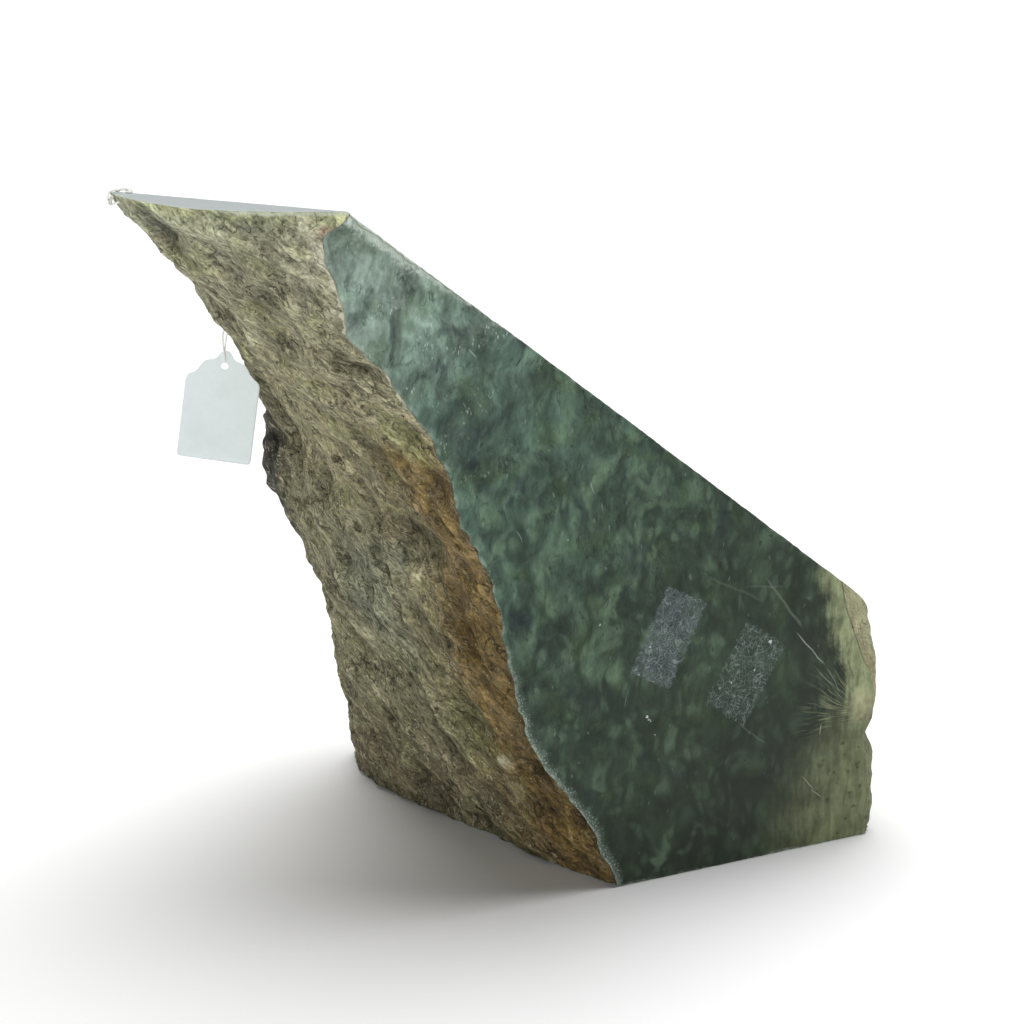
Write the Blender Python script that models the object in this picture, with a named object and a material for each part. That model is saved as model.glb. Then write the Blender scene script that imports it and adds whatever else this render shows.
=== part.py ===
"""A raw jade boulder, sawn flat on four sides, rough on the others, with a blank strung ticket.

Metres, +Z up. The polished face looks along -Y. The origin is under the boulder's middle, on its sawn base.
The outline below is in millimetres from the polished face's bottom left corner, which stands at CORNER.
"""

import math

import bmesh
import bpy
import numpy as np
from mathutils import Vector
from mathutils.bvhtree import BVHTree

MM = 0.001
CORNER = (17.5, -114.6)  # where the polished face's bottom left corner stands
HEIGHT = 300.0  # from the sawn base to the sawn top

# The sloping saw cut passes through three corners: where the ridge, the tip and the right end meet it.
RIDGE_TOP = (-126.0, 0.0, HEIGHT)
HORN_TIP = (-183.0, 98.0, HEIGHT)
SLOPE_END = (113.0, 0.0, 120.0)

# The ragged ridge between rind and polished face, as (height, x), and the polished face's right end.
RIDGE = (
    (0, 0), (18, -9), (36, -19), (53, -32), (71, -44), (85, -49), (101, -54), (129, -59), (145, -64),
    (156, -69), (169, -77), (180, -80), (193, -84), (207, -90), (224, -104), (236, -113), (245, -121),
    (252, -128), (267, -131), (280, -137), (291, -136), (296, -127), (HEIGHT, -126),
)
RIGHT_END = (
    (0, 128), (6, 132), (16, 132), (27, 130), (37, 129), (46, 127), (54, 132), (66, 133), (74, 131),
    (80, 127), (92, 122), (107, 116), (120, 113), (HEIGHT, 95),
)

# The rind's plan at nine heights: posts (x, y) from behind the ridge round the left, the back and the right.
PLANS = {
    0: (
        (-6, 28), (-14, 80), (-23, 140), (-21, 190), (-4, 219), (55, 227),
        (110, 205), (134, 150), (141, 90), (140, 34), (134, 7),
    ),
    55: (
        (-36, 28), (-41, 80), (-40, 140), (-32, 188), (-9, 217), (58, 228),
        (116, 204), (141, 150), (149, 90), (147, 34), (138, 7),
    ),
    120: (
        (-64, 28), (-69, 80), (-66, 140), (-54, 188), (-26, 217), (55, 227),
        (116, 204), (141, 150), (149, 90), (143, 28), (129, 3),
    ),
    150: (
        (-70, 28), (-76, 80), (-74, 140), (-67, 188), (-40, 217), (53, 227),
        (114, 204), (140, 150), (145, 90), (137, 28), (123, 3),
    ),
    180: (
        (-84, 28), (-86, 80), (-77, 140), (-71, 188), (-46, 214), (50, 226),
        (112, 204), (138, 150), (141, 90), (130, 28), (117, 3),
    ),
    210: (
        (-103, 28), (-107, 80), (-99, 134), (-93, 164), (-66, 208), (45, 226),
        (110, 204), (136, 150), (138, 90), (126, 28), (112, 3),
    ),
    240: (
        (-126, 28), (-133, 76), (-124, 126), (-110, 172), (-78, 207), (40, 226),
        (108, 204), (134, 150), (134, 90), (122, 28), (107, 3),
    ),
    270: (
        (-147, 27), (-158, 66), (-153, 110), (-138, 156), (-104, 204), (32, 226),
        (106, 204), (132, 150), (130, 90), (118, 28), (102, 3),
    ),
    HEIGHT: (
        (-163, 25), (-179, 55), (-184, 94), (-176, 138), (-130, 200), (25, 226),
        (104, 204), (130, 150), (128, 90), (114, 28), (98, 3),
    ),
}
# Each post's share of the way round, with the ridge first and the right end last.
POSTS = (0.0, 0.045, 0.12, 0.21, 0.285, 0.35, 0.46, 0.57, 0.69, 0.80, 0.91, 0.97, 1.0)

# The rind's relief: lumps and hollows, splinters that run down towards the polished face, and single pits.
LUMPS = {"size": 46.0, "height": 3.0, "seed": 3}
SPLINTERS = {"size": 15.0, "stretch": 2.6, "height": 2.2, "seed": 8, "dip": 28.0}
PITS = (
    {"at": (-76.0, 52.0, 142.0), "radius": 7.0, "depth": 6.0},
    {"at": (-31.0, 58.0, 60.0), "radius": 5.0, "depth": 3.0},
    {"at": (-100.0, 70.0, 215.0), "radius": 16.0, "depth": 3.5},
)
EDGE_FADE = 12.0  # the relief dies out this near the ridge and the right end
BEHIND_FACE = 0.4  # the rind stays at least this far behind the polished face
RINGS, AROUND = 46, 118  # points up the height, and round the rind

# The blank strung ticket: a card with a rounded head and scooped shoulders, drawn round its string hole.
CARD = {
    "width": 32.0,
    "below": 42.5,
    "shoulder": 5.5,
    "head": 6.5,
    "head_width": 8.0,
    "thick": 0.4,
    "hole": 2.2,
}
CARD_HOLE = (-113.1, 140.0, 214.7)
CARD_TURN, CARD_LEAN = -31.0, 8.0  # degrees: about +Z from the polished face's side, and leaning to the right

# The string is one loop. From its knot on the slope it runs down, over the edge, through the card's hole,
# back up the slope and once round the tip.
STRING_THICK = 0.8
STRING_CLEAR = 0.85  # from the string's middle to the stone
STRING_POINTS = 80
STRING_LOOK = Vector((-0.62, -0.34, 0.71)).normalized()  # a ray this way tells inside from outside
STRING_ROUTE = (
    (-161, 103.1, 282.1), (-150, 108.5, 271.4), (-138, 113, 260.4), (-127, 117.5, 250.2),
    (-119.5, 124.5, 241.5), (-115, 131, 235.2), (-113.2, 135.2, 232), (-113.5, 137.6, 230.6),
    (-114.3, 138.9, 229.2), (-114.4, 139.4, 226.5), (-114.2, 139.2, 221), (-113.9, 138.5, 217.1),
    (-113.1, 140, 215.9), (-112.3, 141.6, 217.1), (-112, 141.3, 221), (-111.6, 140.6, 226),
    (-111.4, 139.6, 228.4), (-111, 137, 229.6), (-112.6, 130, 233.9), (-117.5, 122.5, 240.8),
    (-125.5, 115, 250.1), (-137, 110.3, 260.9), (-149, 105.8, 271.9), (-159.5, 100.9, 281.9),
    (-168, 95.8, 290.6), (-174, 93, 296.3), (-177.8, 91.2, 300.8), (-179.3, 90.7, 301.2),
    (-181.5, 90.9, 301.1), (-184.2, 92, 301), (-185.6, 93.3, 299.8), (-185.6, 94.6, 297.5),
    (-184, 98, 296.3), (-181.6, 101.8, 296.4), (-178.8, 102, 296), (-175.5, 102.9, 293.1),
    (-170.5, 103.6, 289), (-165.5, 103.9, 285.1), (-162.5, 103.8, 282.9),
)


def through(knots, values, at):
    """A cubic curve through values at the knots, with each knot's slope taken from its neighbours."""
    knots, values, at = np.asarray(knots, float), np.asarray(values, float), np.asarray(at, float)
    steps = np.diff(knots)
    rises = np.diff(values, axis=0) / steps.reshape((-1,) + (1,) * (values.ndim - 1))
    slopes = np.concatenate([rises[:1], (rises[:-1] + rises[1:]) / 2, rises[-1:]])
    k = np.clip(np.searchsorted(knots, at, side="right") - 1, 0, len(steps) - 1)
    shape = at.shape + (1,) * (values.ndim - 1)
    h = steps[k].reshape(shape)
    t = ((at - knots[k]) / steps[k]).reshape(shape)
    start = values[k] * (2 * t**3 - 3 * t**2 + 1) + slopes[k] * h * (t**3 - 2 * t**2 + t)
    return start + values[k + 1] * (3 * t**2 - 2 * t**3) + slopes[k + 1] * h * (t**3 - t**2)


def lattice(cells, seed):
    """A steady number from 0 to 1 for each lattice cell."""
    mixed = np.sin(cells @ np.array([127.1, 311.7, 74.7]) + 17.3 * seed) * 43758.5453
    return mixed - np.floor(mixed)


def noise(points, seed):
    """Smooth noise from -1 to 1: numbers at whole places, blended between them."""
    base = np.floor(points)
    part = points - base
    part = part * part * (3 - 2 * part)
    total = 0.0
    for corner in np.ndindex(2, 2, 2):
        weight = np.prod(np.where(corner, part, 1 - part), axis=-1)
        total = total + weight * lattice(base + corner, seed)
    return 2 * total - 1


def plan_curve(heights):
    """The posts at these heights, [height, post, (x, y)], with the ridge first and the right end last."""
    levels = list(PLANS)
    posts = through(levels, np.array([PLANS[z] for z in levels], float), heights)
    ridge = np.interp(heights, *np.array(RIDGE, float).T)
    right = np.interp(heights, *np.array(RIGHT_END, float).T)
    flat = np.zeros_like(heights)
    first = np.stack([ridge, flat], axis=-1)[:, None]
    last = np.stack([right, flat], axis=-1)[:, None]
    return np.concatenate([first, posts, last], axis=1)


def relief(points):
    """How far the rough surface stands out at each point, in millimetres."""
    dip = math.radians(SPLINTERS["dip"])
    along = points @ np.array([0.0, math.cos(dip), math.sin(dip)])
    across = points @ np.array([0.0, -math.sin(dip), math.cos(dip)])
    lumps = noise(points / LUMPS["size"], LUMPS["seed"])
    lumps = lumps + 0.5 * noise(points / LUMPS["size"] * 2.1, LUMPS["seed"] + 1)
    streaks = np.stack([points[..., 0], along / SPLINTERS["stretch"], across], axis=-1) / SPLINTERS["size"]
    out = LUMPS["height"] * lumps + SPLINTERS["height"] * noise(streaks, SPLINTERS["seed"])
    for pit in PITS:
        away = np.linalg.norm(points - pit["at"], axis=-1) / pit["radius"]
        out = out - pit["depth"] * np.exp(-(away**2))
    return out


def rind(heights, around):
    """The rough surface, [height, place round], in millimetres from the corner."""
    posts = np.swapaxes(plan_curve(heights), 0, 1)
    curve = np.swapaxes(through(POSTS, posts, around), 0, 1)
    level = np.broadcast_to(heights[:, None, None], curve.shape[:2] + (1,))
    points = np.concatenate([curve, level], axis=-1)
    along = np.gradient(curve, axis=1)
    outward = np.stack([-along[..., 1], along[..., 0]], axis=-1)
    outward /= np.linalg.norm(outward, axis=-1, keepdims=True)
    steps = np.linalg.norm(np.diff(curve, axis=1), axis=-1)
    walked = np.concatenate([np.zeros((len(heights), 1)), np.cumsum(steps, axis=1)], axis=1)
    near_end = np.minimum(walked, walked[:, -1:] - walked)
    fade = np.clip(near_end / EDGE_FADE, 0, 1)
    points[..., :2] += outward * (relief(points) * fade)[..., None]
    points[:, 1:-1, 1] = np.maximum(points[:, 1:-1, 1], BEHIND_FACE)
    return points


def slope_plane():
    """A point on the sloping cut and its normal, which faces up and back."""
    a, b, c = Vector(RIDGE_TOP), Vector(HORN_TIP), Vector(SLOPE_END)
    normal = (c - a).cross(b - a).normalized()
    return a, normal


def placed(points):
    """Millimetres from the corner to metres in the part's frame."""
    shift = np.array([CORNER[0], CORNER[1], 0.0])
    return (np.asarray(points, float) + shift) * MM


def material(name, colour, roughness, metallic=0.0):
    made = bpy.data.materials.new(name)
    made.use_nodes = True
    shader = made.node_tree.nodes["Principled BSDF"]
    shader.inputs["Base Color"].default_value = (*colour, 1.0)
    shader.inputs["Roughness"].default_value = roughness
    shader.inputs["Metallic"].default_value = metallic
    return made


def add_object(name, bm, look):
    """Turns the bmesh into a named object with its material."""
    bmesh.ops.recalc_face_normals(bm, faces=bm.faces)
    mesh = bpy.data.meshes.new(name)
    bm.to_mesh(mesh)
    bm.free()
    mesh.materials.append(look)
    made = bpy.data.objects.new(name, mesh)
    bpy.context.scene.collection.objects.link(made)
    return made


def make_boulder():
    """Rings up the rind, closed across the polished face and capped, then cut by the sloping plane."""
    heights = np.linspace(0.0, HEIGHT, RINGS)
    around = np.linspace(0.0, 1.0, AROUND)
    points = placed(rind(heights, around))
    bm = bmesh.new()
    rings = [[bm.verts.new(p) for p in row] for row in points]
    for low, high in zip(rings, rings[1:]):
        for i in range(AROUND):
            j = (i + 1) % AROUND
            bm.faces.new((low[i], low[j], high[j], high[i]))
    bm.faces.new(rings[0])
    bm.faces.new(rings[-1])
    at, normal = slope_plane()
    everything = list(bm.verts) + list(bm.edges) + list(bm.faces)
    bmesh.ops.bisect_plane(
        bm, geom=everything, dist=1e-6, plane_co=Vector(placed(at)), plane_no=normal, clear_outer=True
    )
    open_edges = [edge for edge in bm.edges if edge.is_boundary]
    bmesh.ops.contextual_create(bm, geom=open_edges)
    bmesh.ops.triangulate(bm, faces=bm.faces)
    look = material("raw_jade", (0.10, 0.15, 0.09), 0.55)
    return add_object("jade_boulder", bm, look)


def card_outline(angles):
    """The ticket's edge along each angle from its hole: straight sides, scooped shoulders, a round head."""
    half = CARD["width"] / 2
    left = [
        (0, CARD["head"]),
        (-CARD["head_width"] / 2, CARD["head"] - 1.4),
        (-CARD["head_width"], CARD["head"] - 4.2),
        (-0.72 * half, -0.4),
        (-0.92 * half, -2.9),
        (-half, -CARD["shoulder"]),
        (-half, -CARD["below"]),
    ]
    edge = np.array(left + [(-x, y) for x, y in reversed(left[1:])] + left[:1])
    turn = np.unwrap(np.arctan2(edge[:, 1], edge[:, 0]))
    return np.stack([np.interp(angles, turn, edge[:, 0]), np.interp(angles, turn, edge[:, 1])], axis=-1)


def card_place(flat, out):
    """Points of the card (right, up), this far out of its front, in millimetres from the corner."""
    turn, lean = math.radians(CARD_TURN), math.radians(CARD_LEAN)
    right = np.array([math.cos(turn), math.sin(turn), 0.0])
    front = np.array([math.sin(turn), -math.cos(turn), 0.0])
    up = math.cos(lean) * np.array([0.0, 0.0, 1.0]) + math.sin(lean) * right
    across = math.cos(lean) * right - math.sin(lean) * np.array([0.0, 0.0, 1.0])
    return np.array(CARD_HOLE) + flat[:, :1] * across + flat[:, 1:] * up + out * front


def make_ticket():
    """The card as four rings: the outer edge and the hole, in front and behind."""
    head = math.pi / 2
    shoulder = math.atan2(-CARD["shoulder"], -CARD["width"] / 2) + 2 * math.pi
    foot = math.atan2(-CARD["below"], -CARD["width"] / 2) + 2 * math.pi
    stops = (head, shoulder, foot, 3 * math.pi - foot, 3 * math.pi - shoulder, head + 2 * math.pi)
    counts = (12, 4, 8, 4, 12)
    spans = zip(stops, stops[1:], counts)
    angles = np.concatenate([np.linspace(a, b, n, endpoint=False) for a, b, n in spans])
    outer = card_outline(angles)
    inner = CARD["hole"] * np.stack([np.cos(angles), np.sin(angles)], axis=-1)
    bm = bmesh.new()
    half = CARD["thick"] / 2
    rings = [(outer, half), (inner, half), (inner, -half), (outer, -half)]
    made = [[bm.verts.new(p) for p in placed(card_place(flat, out))] for flat, out in rings]
    for first, second in zip(made, made[1:] + made[:1]):
        for i in range(len(angles)):
            j = (i + 1) % len(angles)
            bm.faces.new((first[i], first[j], second[j], second[i]))
    return add_object("paper_ticket", bm, material("card", (0.72, 0.76, 0.76), 0.85))


def held_clear(tree, point, clear):
    """The point, moved straight out of the stone's surface where it is inside it or nearer than this."""
    surface, normal, _, away = tree.find_nearest(point)
    seen, facing, _, _ = tree.ray_cast(point, STRING_LOOK)
    inside = seen is not None and facing.dot(STRING_LOOK) > 0
    if away > clear and not inside:
        return point
    out = surface - point if inside else point - surface
    return surface + (out if away > 1e-6 else normal).normalized() * clear


def make_string(stone):
    """The cotton loop: a curve through its route, its points and the middles between them held clear."""
    route = np.array(STRING_ROUTE, float)
    walked = np.concatenate([[0.0], np.cumsum(np.linalg.norm(np.diff(route, axis=0), axis=1) ** 0.5)])
    line = through(walked, route, np.linspace(0.0, walked[-1], STRING_POINTS))
    tree = BVHTree.FromObject(stone, bpy.context.evaluated_depsgraph_get())
    points = [held_clear(tree, Vector(point), STRING_CLEAR * MM) for point in placed(line)]
    for _ in range(12):
        for i in range(1, len(points)):
            middle = (points[i - 1] + points[i]) / 2
            moved = held_clear(tree, middle, STRING_CLEAR * MM) - middle
            points[i - 1] = points[i - 1] + moved
            points[i] = points[i] + moved
    curve = bpy.data.curves.new("ticket_string", "CURVE")
    curve.dimensions = "3D"
    curve.bevel_depth = STRING_THICK / 2 * MM
    curve.bevel_resolution = 2
    curve.use_fill_caps = True
    spline = curve.splines.new("POLY")
    spline.points.add(len(points) - 1)
    for slot, point in zip(spline.points, points):
        slot.co = (*point, 1.0)
    curve.materials.append(material("cotton", (0.82, 0.82, 0.80), 0.9))
    made = bpy.data.objects.new("ticket_string", curve)
    bpy.context.scene.collection.objects.link(made)
    return made


def main():
    for old in list(bpy.data.objects):
        bpy.data.objects.remove(old)
    boulder = make_boulder()
    make_ticket()
    make_string(boulder)


main()
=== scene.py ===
import functools
import math

import bmesh
import bpy
import numpy as np
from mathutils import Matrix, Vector
from mathutils.bvhtree import BVHTree
from mathutils.geometry import delaunay_2d_cdt


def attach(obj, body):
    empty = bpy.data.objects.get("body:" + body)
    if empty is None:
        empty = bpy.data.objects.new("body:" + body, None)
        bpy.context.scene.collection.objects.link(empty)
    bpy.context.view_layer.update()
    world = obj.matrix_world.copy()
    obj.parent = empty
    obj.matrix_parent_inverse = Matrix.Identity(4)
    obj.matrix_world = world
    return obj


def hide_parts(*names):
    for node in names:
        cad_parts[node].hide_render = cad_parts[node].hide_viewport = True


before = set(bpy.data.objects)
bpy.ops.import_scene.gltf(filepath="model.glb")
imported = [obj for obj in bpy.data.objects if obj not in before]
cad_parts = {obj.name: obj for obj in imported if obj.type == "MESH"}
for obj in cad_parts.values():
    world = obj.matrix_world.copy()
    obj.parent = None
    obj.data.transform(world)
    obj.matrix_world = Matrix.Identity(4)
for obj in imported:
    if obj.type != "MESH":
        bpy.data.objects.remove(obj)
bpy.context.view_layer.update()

# The model below is drawn in millimetres from the polished face's bottom left corner, which stands here.
corner = np.array([17.5, -114.6, 0.0])


def placed(points):
    # Millimetres from the corner to metres in the frame.
    return (np.asarray(points, float) + corner) / 1000


# The camera stands on the photograph's viewing line, looking at the point "target".
cameraView = {
    "azimuth": -31.0,
    "elevation": 14.0,
    "distance": 1.4,
    "frameWidth": 0.44,
    "target": (-13.95, 66.17, 152.39),
}


def makeCamera():
    # The lens is as long as makes the frame's width, seen at the camera's distance, fill the sensor.
    turn, rise = math.radians(cameraView["azimuth"]), math.radians(cameraView["elevation"])
    back = Vector((math.sin(turn) * math.cos(rise), -math.cos(turn) * math.cos(rise), math.sin(rise)))
    data = bpy.data.cameras.new("camera")
    data.sensor_width = 36.0
    data.lens = 36.0 * cameraView["distance"] / cameraView["frameWidth"]
    data.clip_end = 100.0
    camera = bpy.data.objects.new("camera", data)
    camera.location = Vector(placed(cameraView["target"])) + cameraView["distance"] * back
    camera.rotation_euler = (-back).to_track_quat("-Z", "Y").to_euler()
    bpy.context.scene.collection.objects.link(camera)
    bpy.context.scene.camera = camera


makeCamera()
print("camera placed")


def through(knots, values, at):
    # A cubic curve through values at the knots, with each knot's slope taken from its neighbours.
    knots, values, at = np.asarray(knots, float), np.asarray(values, float), np.asarray(at, float)
    steps = np.diff(knots)
    rises = np.diff(values, axis=0) / steps.reshape((-1,) + (1,) * (values.ndim - 1))
    slopes = np.concatenate([rises[:1], (rises[:-1] + rises[1:]) / 2, rises[-1:]])
    k = np.clip(np.searchsorted(knots, at, side="right") - 1, 0, len(steps) - 1)
    shape = at.shape + (1,) * (values.ndim - 1)
    h = steps[k].reshape(shape)
    t = ((at - knots[k]) / steps[k]).reshape(shape)
    first = values[k] * (2 * t**3 - 3 * t**2 + 1) + slopes[k] * h * (t**3 - 2 * t**2 + t)
    return first + values[k + 1] * (3 * t**2 - 2 * t**3) + slopes[k + 1] * h * (t**3 - t**2)


def lattice(cells, seed):
    # A steady number from 0 to 1 for each lattice cell, from the fraction of a large sine.
    mixed = np.sin(cells @ np.array([127.1, 311.7, 74.7]) + 17.3 * seed) * 43758.5453
    return mixed - np.floor(mixed)


def noise(points, seed):
    # Smooth noise from -1 to 1: lattice numbers, blended between cells by 3t^2 - 2t^3.
    base = np.floor(points)
    part = points - base
    part = part * part * (3 - 2 * part)
    total = 0.0
    for step in np.ndindex(2, 2, 2):
        weight = np.prod(np.where(step, part, 1 - part), axis=-1)
        total = total + weight * lattice(base + step, seed)
    return 2 * total - 1


def smooth(value, low, high):
    # 0 below low, 1 above high, and a smooth step between.
    t = np.clip((value - low) / (high - low), 0, 1)
    return t * t * (3 - 2 * t)


def unit(vectors):
    # The same directions, one long.
    return vectors / np.maximum(np.linalg.norm(vectors, axis=-1, keepdims=True), 1e-9)


def addMesh(name, points, faces, materials, slots=None, attributes=None):
    # One mesh from whole arrays: points in millimetres from the corner, faces as a list of index arrays.
    mesh = bpy.data.meshes.new(name)
    points = placed(points)
    sizes = np.concatenate([np.full(len(f), f.shape[1]) for f in faces])
    loops = np.concatenate([f.ravel() for f in faces])
    starts = np.concatenate([[0], np.cumsum(sizes)[:-1]])
    mesh.vertices.add(len(points))
    mesh.vertices.foreach_set("co", points.astype(np.float32).ravel())
    mesh.loops.add(len(loops))
    mesh.loops.foreach_set("vertex_index", loops.astype(np.int32))
    mesh.polygons.add(len(sizes))
    mesh.polygons.foreach_set("loop_start", starts.astype(np.int32))
    mesh.polygons.foreach_set("use_smooth", np.full(len(sizes), True))
    for material in materials:
        mesh.materials.append(material)
    if slots is not None:
        mesh.polygons.foreach_set("material_index", slots.astype(np.int32))
    for key, values in (attributes or {}).items():
        mesh.attributes.new(key, "FLOAT", "POINT").data.foreach_set("value", values.astype(np.float32).ravel())
    mesh.update(calc_edges=True)
    mesh.validate()
    made = bpy.data.objects.new(name, mesh)
    bpy.context.scene.collection.objects.link(made)
    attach(made, "root")
    return made


# The looks are built from values. A value is a node's output, and its sums and products are nodes too.
looks = {}
finestNoise = 0.5


class Value:
    def __init__(self, socket):
        self.socket = socket
        self.wide = socket.type in ("VECTOR", "RGBA")

    def __add__(self, other):
        return calc("ADD", self, other)

    def __sub__(self, other):
        return calc("SUBTRACT", self, other)

    def __rsub__(self, other):
        return calc("SUBTRACT", other, self)

    def __mul__(self, other):
        return calc("MULTIPLY", self, other)

    def __abs__(self):
        return calc("ABSOLUTE", self)


def feed(socket, value):
    # A value is linked to the input, and a plain number or tuple becomes its setting.
    if isinstance(value, Value):
        socket.id_data.links.new(value.socket, socket)
    elif socket.type == "RGBA":
        socket.default_value = (*value, 1.0)
    elif socket.type == "VECTOR" and not isinstance(value, tuple):
        socket.default_value = (value,) * 3
    else:
        socket.default_value = value


def newNode(kind, inputs=(), **settings):
    # A node in the look that is being made, with its inputs by name or number.
    node = looks["tree"].nodes.new("ShaderNode" + kind)
    for key, value in settings.items():
        setattr(node, key, value)
    for key, value in dict(inputs).items():
        feed(node.inputs[key], value)
    return node


def newMaterial(name, specular, roughness):
    # A plain material, whose nodes the next calls add to.
    made = bpy.data.materials.new(name)
    made.use_nodes = True
    looks["tree"] = made.node_tree
    shader = made.node_tree.nodes["Principled BSDF"]
    shader.inputs["Specular IOR Level"].default_value = specular
    shader.inputs["Roughness"].default_value = roughness
    return made, shader


def calc(operation, *values):
    # One sum of numbers, or of places and colours where any of the values is one.
    wide = any(isinstance(value, tuple) or getattr(value, "wide", False) for value in values)
    node = newNode("VectorMath" if wide else "Math", enumerate(values), operation=operation)
    oneNumber = not wide or operation in ("DOT_PRODUCT", "LENGTH", "DISTANCE")
    return Value(node.outputs["Value" if oneNumber else "Vector"])


def step(value, low, high):
    # A smooth step: 0 at low and 1 at high.
    ends = {"Value": value, "From Min": low, "From Max": high}
    return Value(newNode("MapRange", ends, interpolation_type="SMOOTHSTEP").outputs["Result"])


def blend(factor, first, second):
    # Colours first to second by the factor.
    return Value(newNode("Mix", {0: factor, 6: first, 7: second}, data_type="RGBA").outputs[2])


def noiseAt(vector, size, detail=2.0, rough=0.5, distort=0.0, kind="Fac"):
    # Noise whose features are about this many millimetres across. Each step of detail halves them, and none is
    # finer than finestNoise, since that costs time and doesn't show.
    detail = min(detail, max(0.0, math.log2(size / finestNoise)))
    inputs = {"Vector": vector, "Scale": 1.0 / size, "Detail": detail, "Roughness": rough, "Distortion": distort}
    return Value(newNode("TexNoise", inputs).outputs[kind])


def cellsAt(vector, size, feature="F1", out="Distance", **settings):
    # Cells of about this size: the distance from the nearest cell's middle, or another of their figures.
    inputs = {"Vector": vector, "Scale": 1.0 / size, **settings}
    return Value(newNode("TexVoronoi", inputs, feature=feature).outputs[out])


def mapped(vector, move=(0, 0, 0), turn=0.0, scale=(1, 1, 1)):
    # The place scaled, turned about z in radians, and moved.
    inputs = {"Vector": vector, "Location": move, "Rotation": (0, 0, turn), "Scale": scale}
    return Value(newNode("Mapping", inputs).outputs[0])


def placeMm():
    # Object coordinates as millimetres from the corner.
    return Value(newNode("TexCoord").outputs["Object"]) * 1000.0 - tuple(corner)


def attribute(name):
    # One of the figures that the piece's points carry.
    return Value(newNode("Attribute", attribute_name=name).outputs["Fac"])


def bumped(shader, height, strength, distance):
    # Relief in the light only: a height of 1 stands this many millimetres out.
    node = newNode("Bump", {"Strength": strength, "Distance": distance / 1000, "Height": height})
    feed(shader.inputs["Normal"], Value(node.outputs[0]))


def spot(where, centre, radius, soft):
    # 1 inside a ball round the centre, fading to 0 over the soft distance.
    return step(calc("DISTANCE", where, centre), radius + soft, max(radius - soft, 0.0))


def tone(red, green, blue):
    # A colour seen on a screen, 0 to 255, as the linear colour that gives it.
    return tuple((c / 255 / 12.92) if c < 10.3 else ((c / 255 + 0.055) / 1.055) ** 2.4 for c in (red, green, blue))


def shareOf(value, low, high):
    # 0 at low and 1 at high, straight between.
    return Value(newNode("MapRange", {"Value": value, "From Min": low, "From Max": high}).outputs["Result"])


def lookup(value, low, high, pairs):
    # A number read from a table of (value, result), straight between its entries.
    node = newNode("FloatCurve", {"Value": shareOf(value, low, high)})
    results = [result for _, result in pairs]
    bottom, span = min(results), max(results) - min(results)
    curve = node.mapping.curves[0]
    spots = [((at - low) / (high - low), (result - bottom) / span) for at, result in pairs]
    curve.points[0].location, curve.points[1].location = spots[0], spots[-1]
    for at in spots[1:-1]:
        curve.points.new(*at)
    for point in curve.points:
        point.handle_type = "VECTOR"
    node.mapping.update()
    return Value(node.outputs[0]) * span + bottom


def ramp(value, low, high, pairs):
    # A colour read from a table of (value, colour).
    node = newNode("ValToRGB", {0: shareOf(value, low, high)})
    bar = node.color_ramp.elements
    while len(bar) < len(pairs):
        bar.new(0.5)
    for stop, (at, colour) in zip(bar, pairs):
        stop.position = (at - low) / (high - low)
        stop.color = (*colour, 1.0)
    return Value(node.outputs[0])


def centred(value, span):
    # A 0 to 1 noise as a number between -span/2 and span/2.
    return calc("MULTIPLY_ADD", value, span, -span / 2)


def swing(value, low, high, span):
    # The same, after a smooth step from low to high.
    return centred(step(value, low, high), span)


def shade(colour, amount):
    # The colour made lighter or darker by 1 + amount.
    return colour * (amount + 1.0)


def contour(value, width):
    # 1 on the line where a noise crosses its middle value, fading over the width: a curly hairline.
    return step(abs(value - 0.5), width, 0.0)


def joined(x, y, z=0.0):
    # One place from its three numbers.
    return Value(newNode("CombineXYZ", enumerate((x, y, z))).outputs[0])


def splitUp(vector):
    # A place's three numbers.
    return [Value(out) for out in newNode("SeparateXYZ", {0: vector}).outputs]


def jittered(vector, size, reach, detail=1.5):
    # The place moved about by a colour noise.
    move = noiseAt(vector, size, detail, 0.55, 0.0, "Color") - (0.5, 0.5, 0.5)
    return vector + move * reach


# The polished face's colour by its place along the line from the bottom right (low) to the top left (high),
# in millimetres of z - x.
# The paler tones towards the upper left are partly the jade's own lighter colour and partly a painted sheen, the face's
# hazy reflection of the bright room.
polishTones = (
    (-120, tone(40, 47, 37)), (-20, tone(42, 51, 41)), (40, tone(48, 60, 47)), (130, tone(57, 73, 60)),
    (195, tone(63, 82, 70)), (260, tone(79, 101, 88)), (300, tone(94, 117, 104)), (345, tone(120, 142, 129)),
    (400, tone(150, 170, 157)),
)
# The pale tone(150, 165, 156) serves both the grain's short pale strokes and the painted sheen in the upper left.
polish = {
    "light": tone(106, 130, 106), "leaf": tone(80, 102, 68), "navy": tone(36, 46, 52), "black": tone(28, 34, 28),
    "paleMarksAndSheen": tone(150, 165, 156), "frost": tone(196, 206, 198), "rim": tone(206, 218, 208),
    "scratch": tone(170, 182, 168), "stroke": tone(140, 152, 148), "fleck": tone(205, 214, 208),
    "scuff": tone(122, 140, 128), "scuffMark": tone(190, 200, 190), "chalk": tone(188, 200, 186),
    "roughness": 0.3, "specular": 0.16,
}
# The pale right end: where its left side runs, as (height, x), and its colours from there to the edge.
rightBand = (
    (0, 88), (20, 92), (42, 101), (55, 113), (65, 117), (80, 113), (95, 108), (111, 103), (122, 101), (140, 101),
)
rightBandTones = {"olive": tone(105, 111, 82), "pale": tone(142, 150, 114), "cream": tone(170, 166, 132)}
# Where the right end's fibres fan out from, and its cream spot.
fanFrom, creamSpot = (128.0, 56.0, 0.0), (127.0, 61.0, 0.0)
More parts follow.
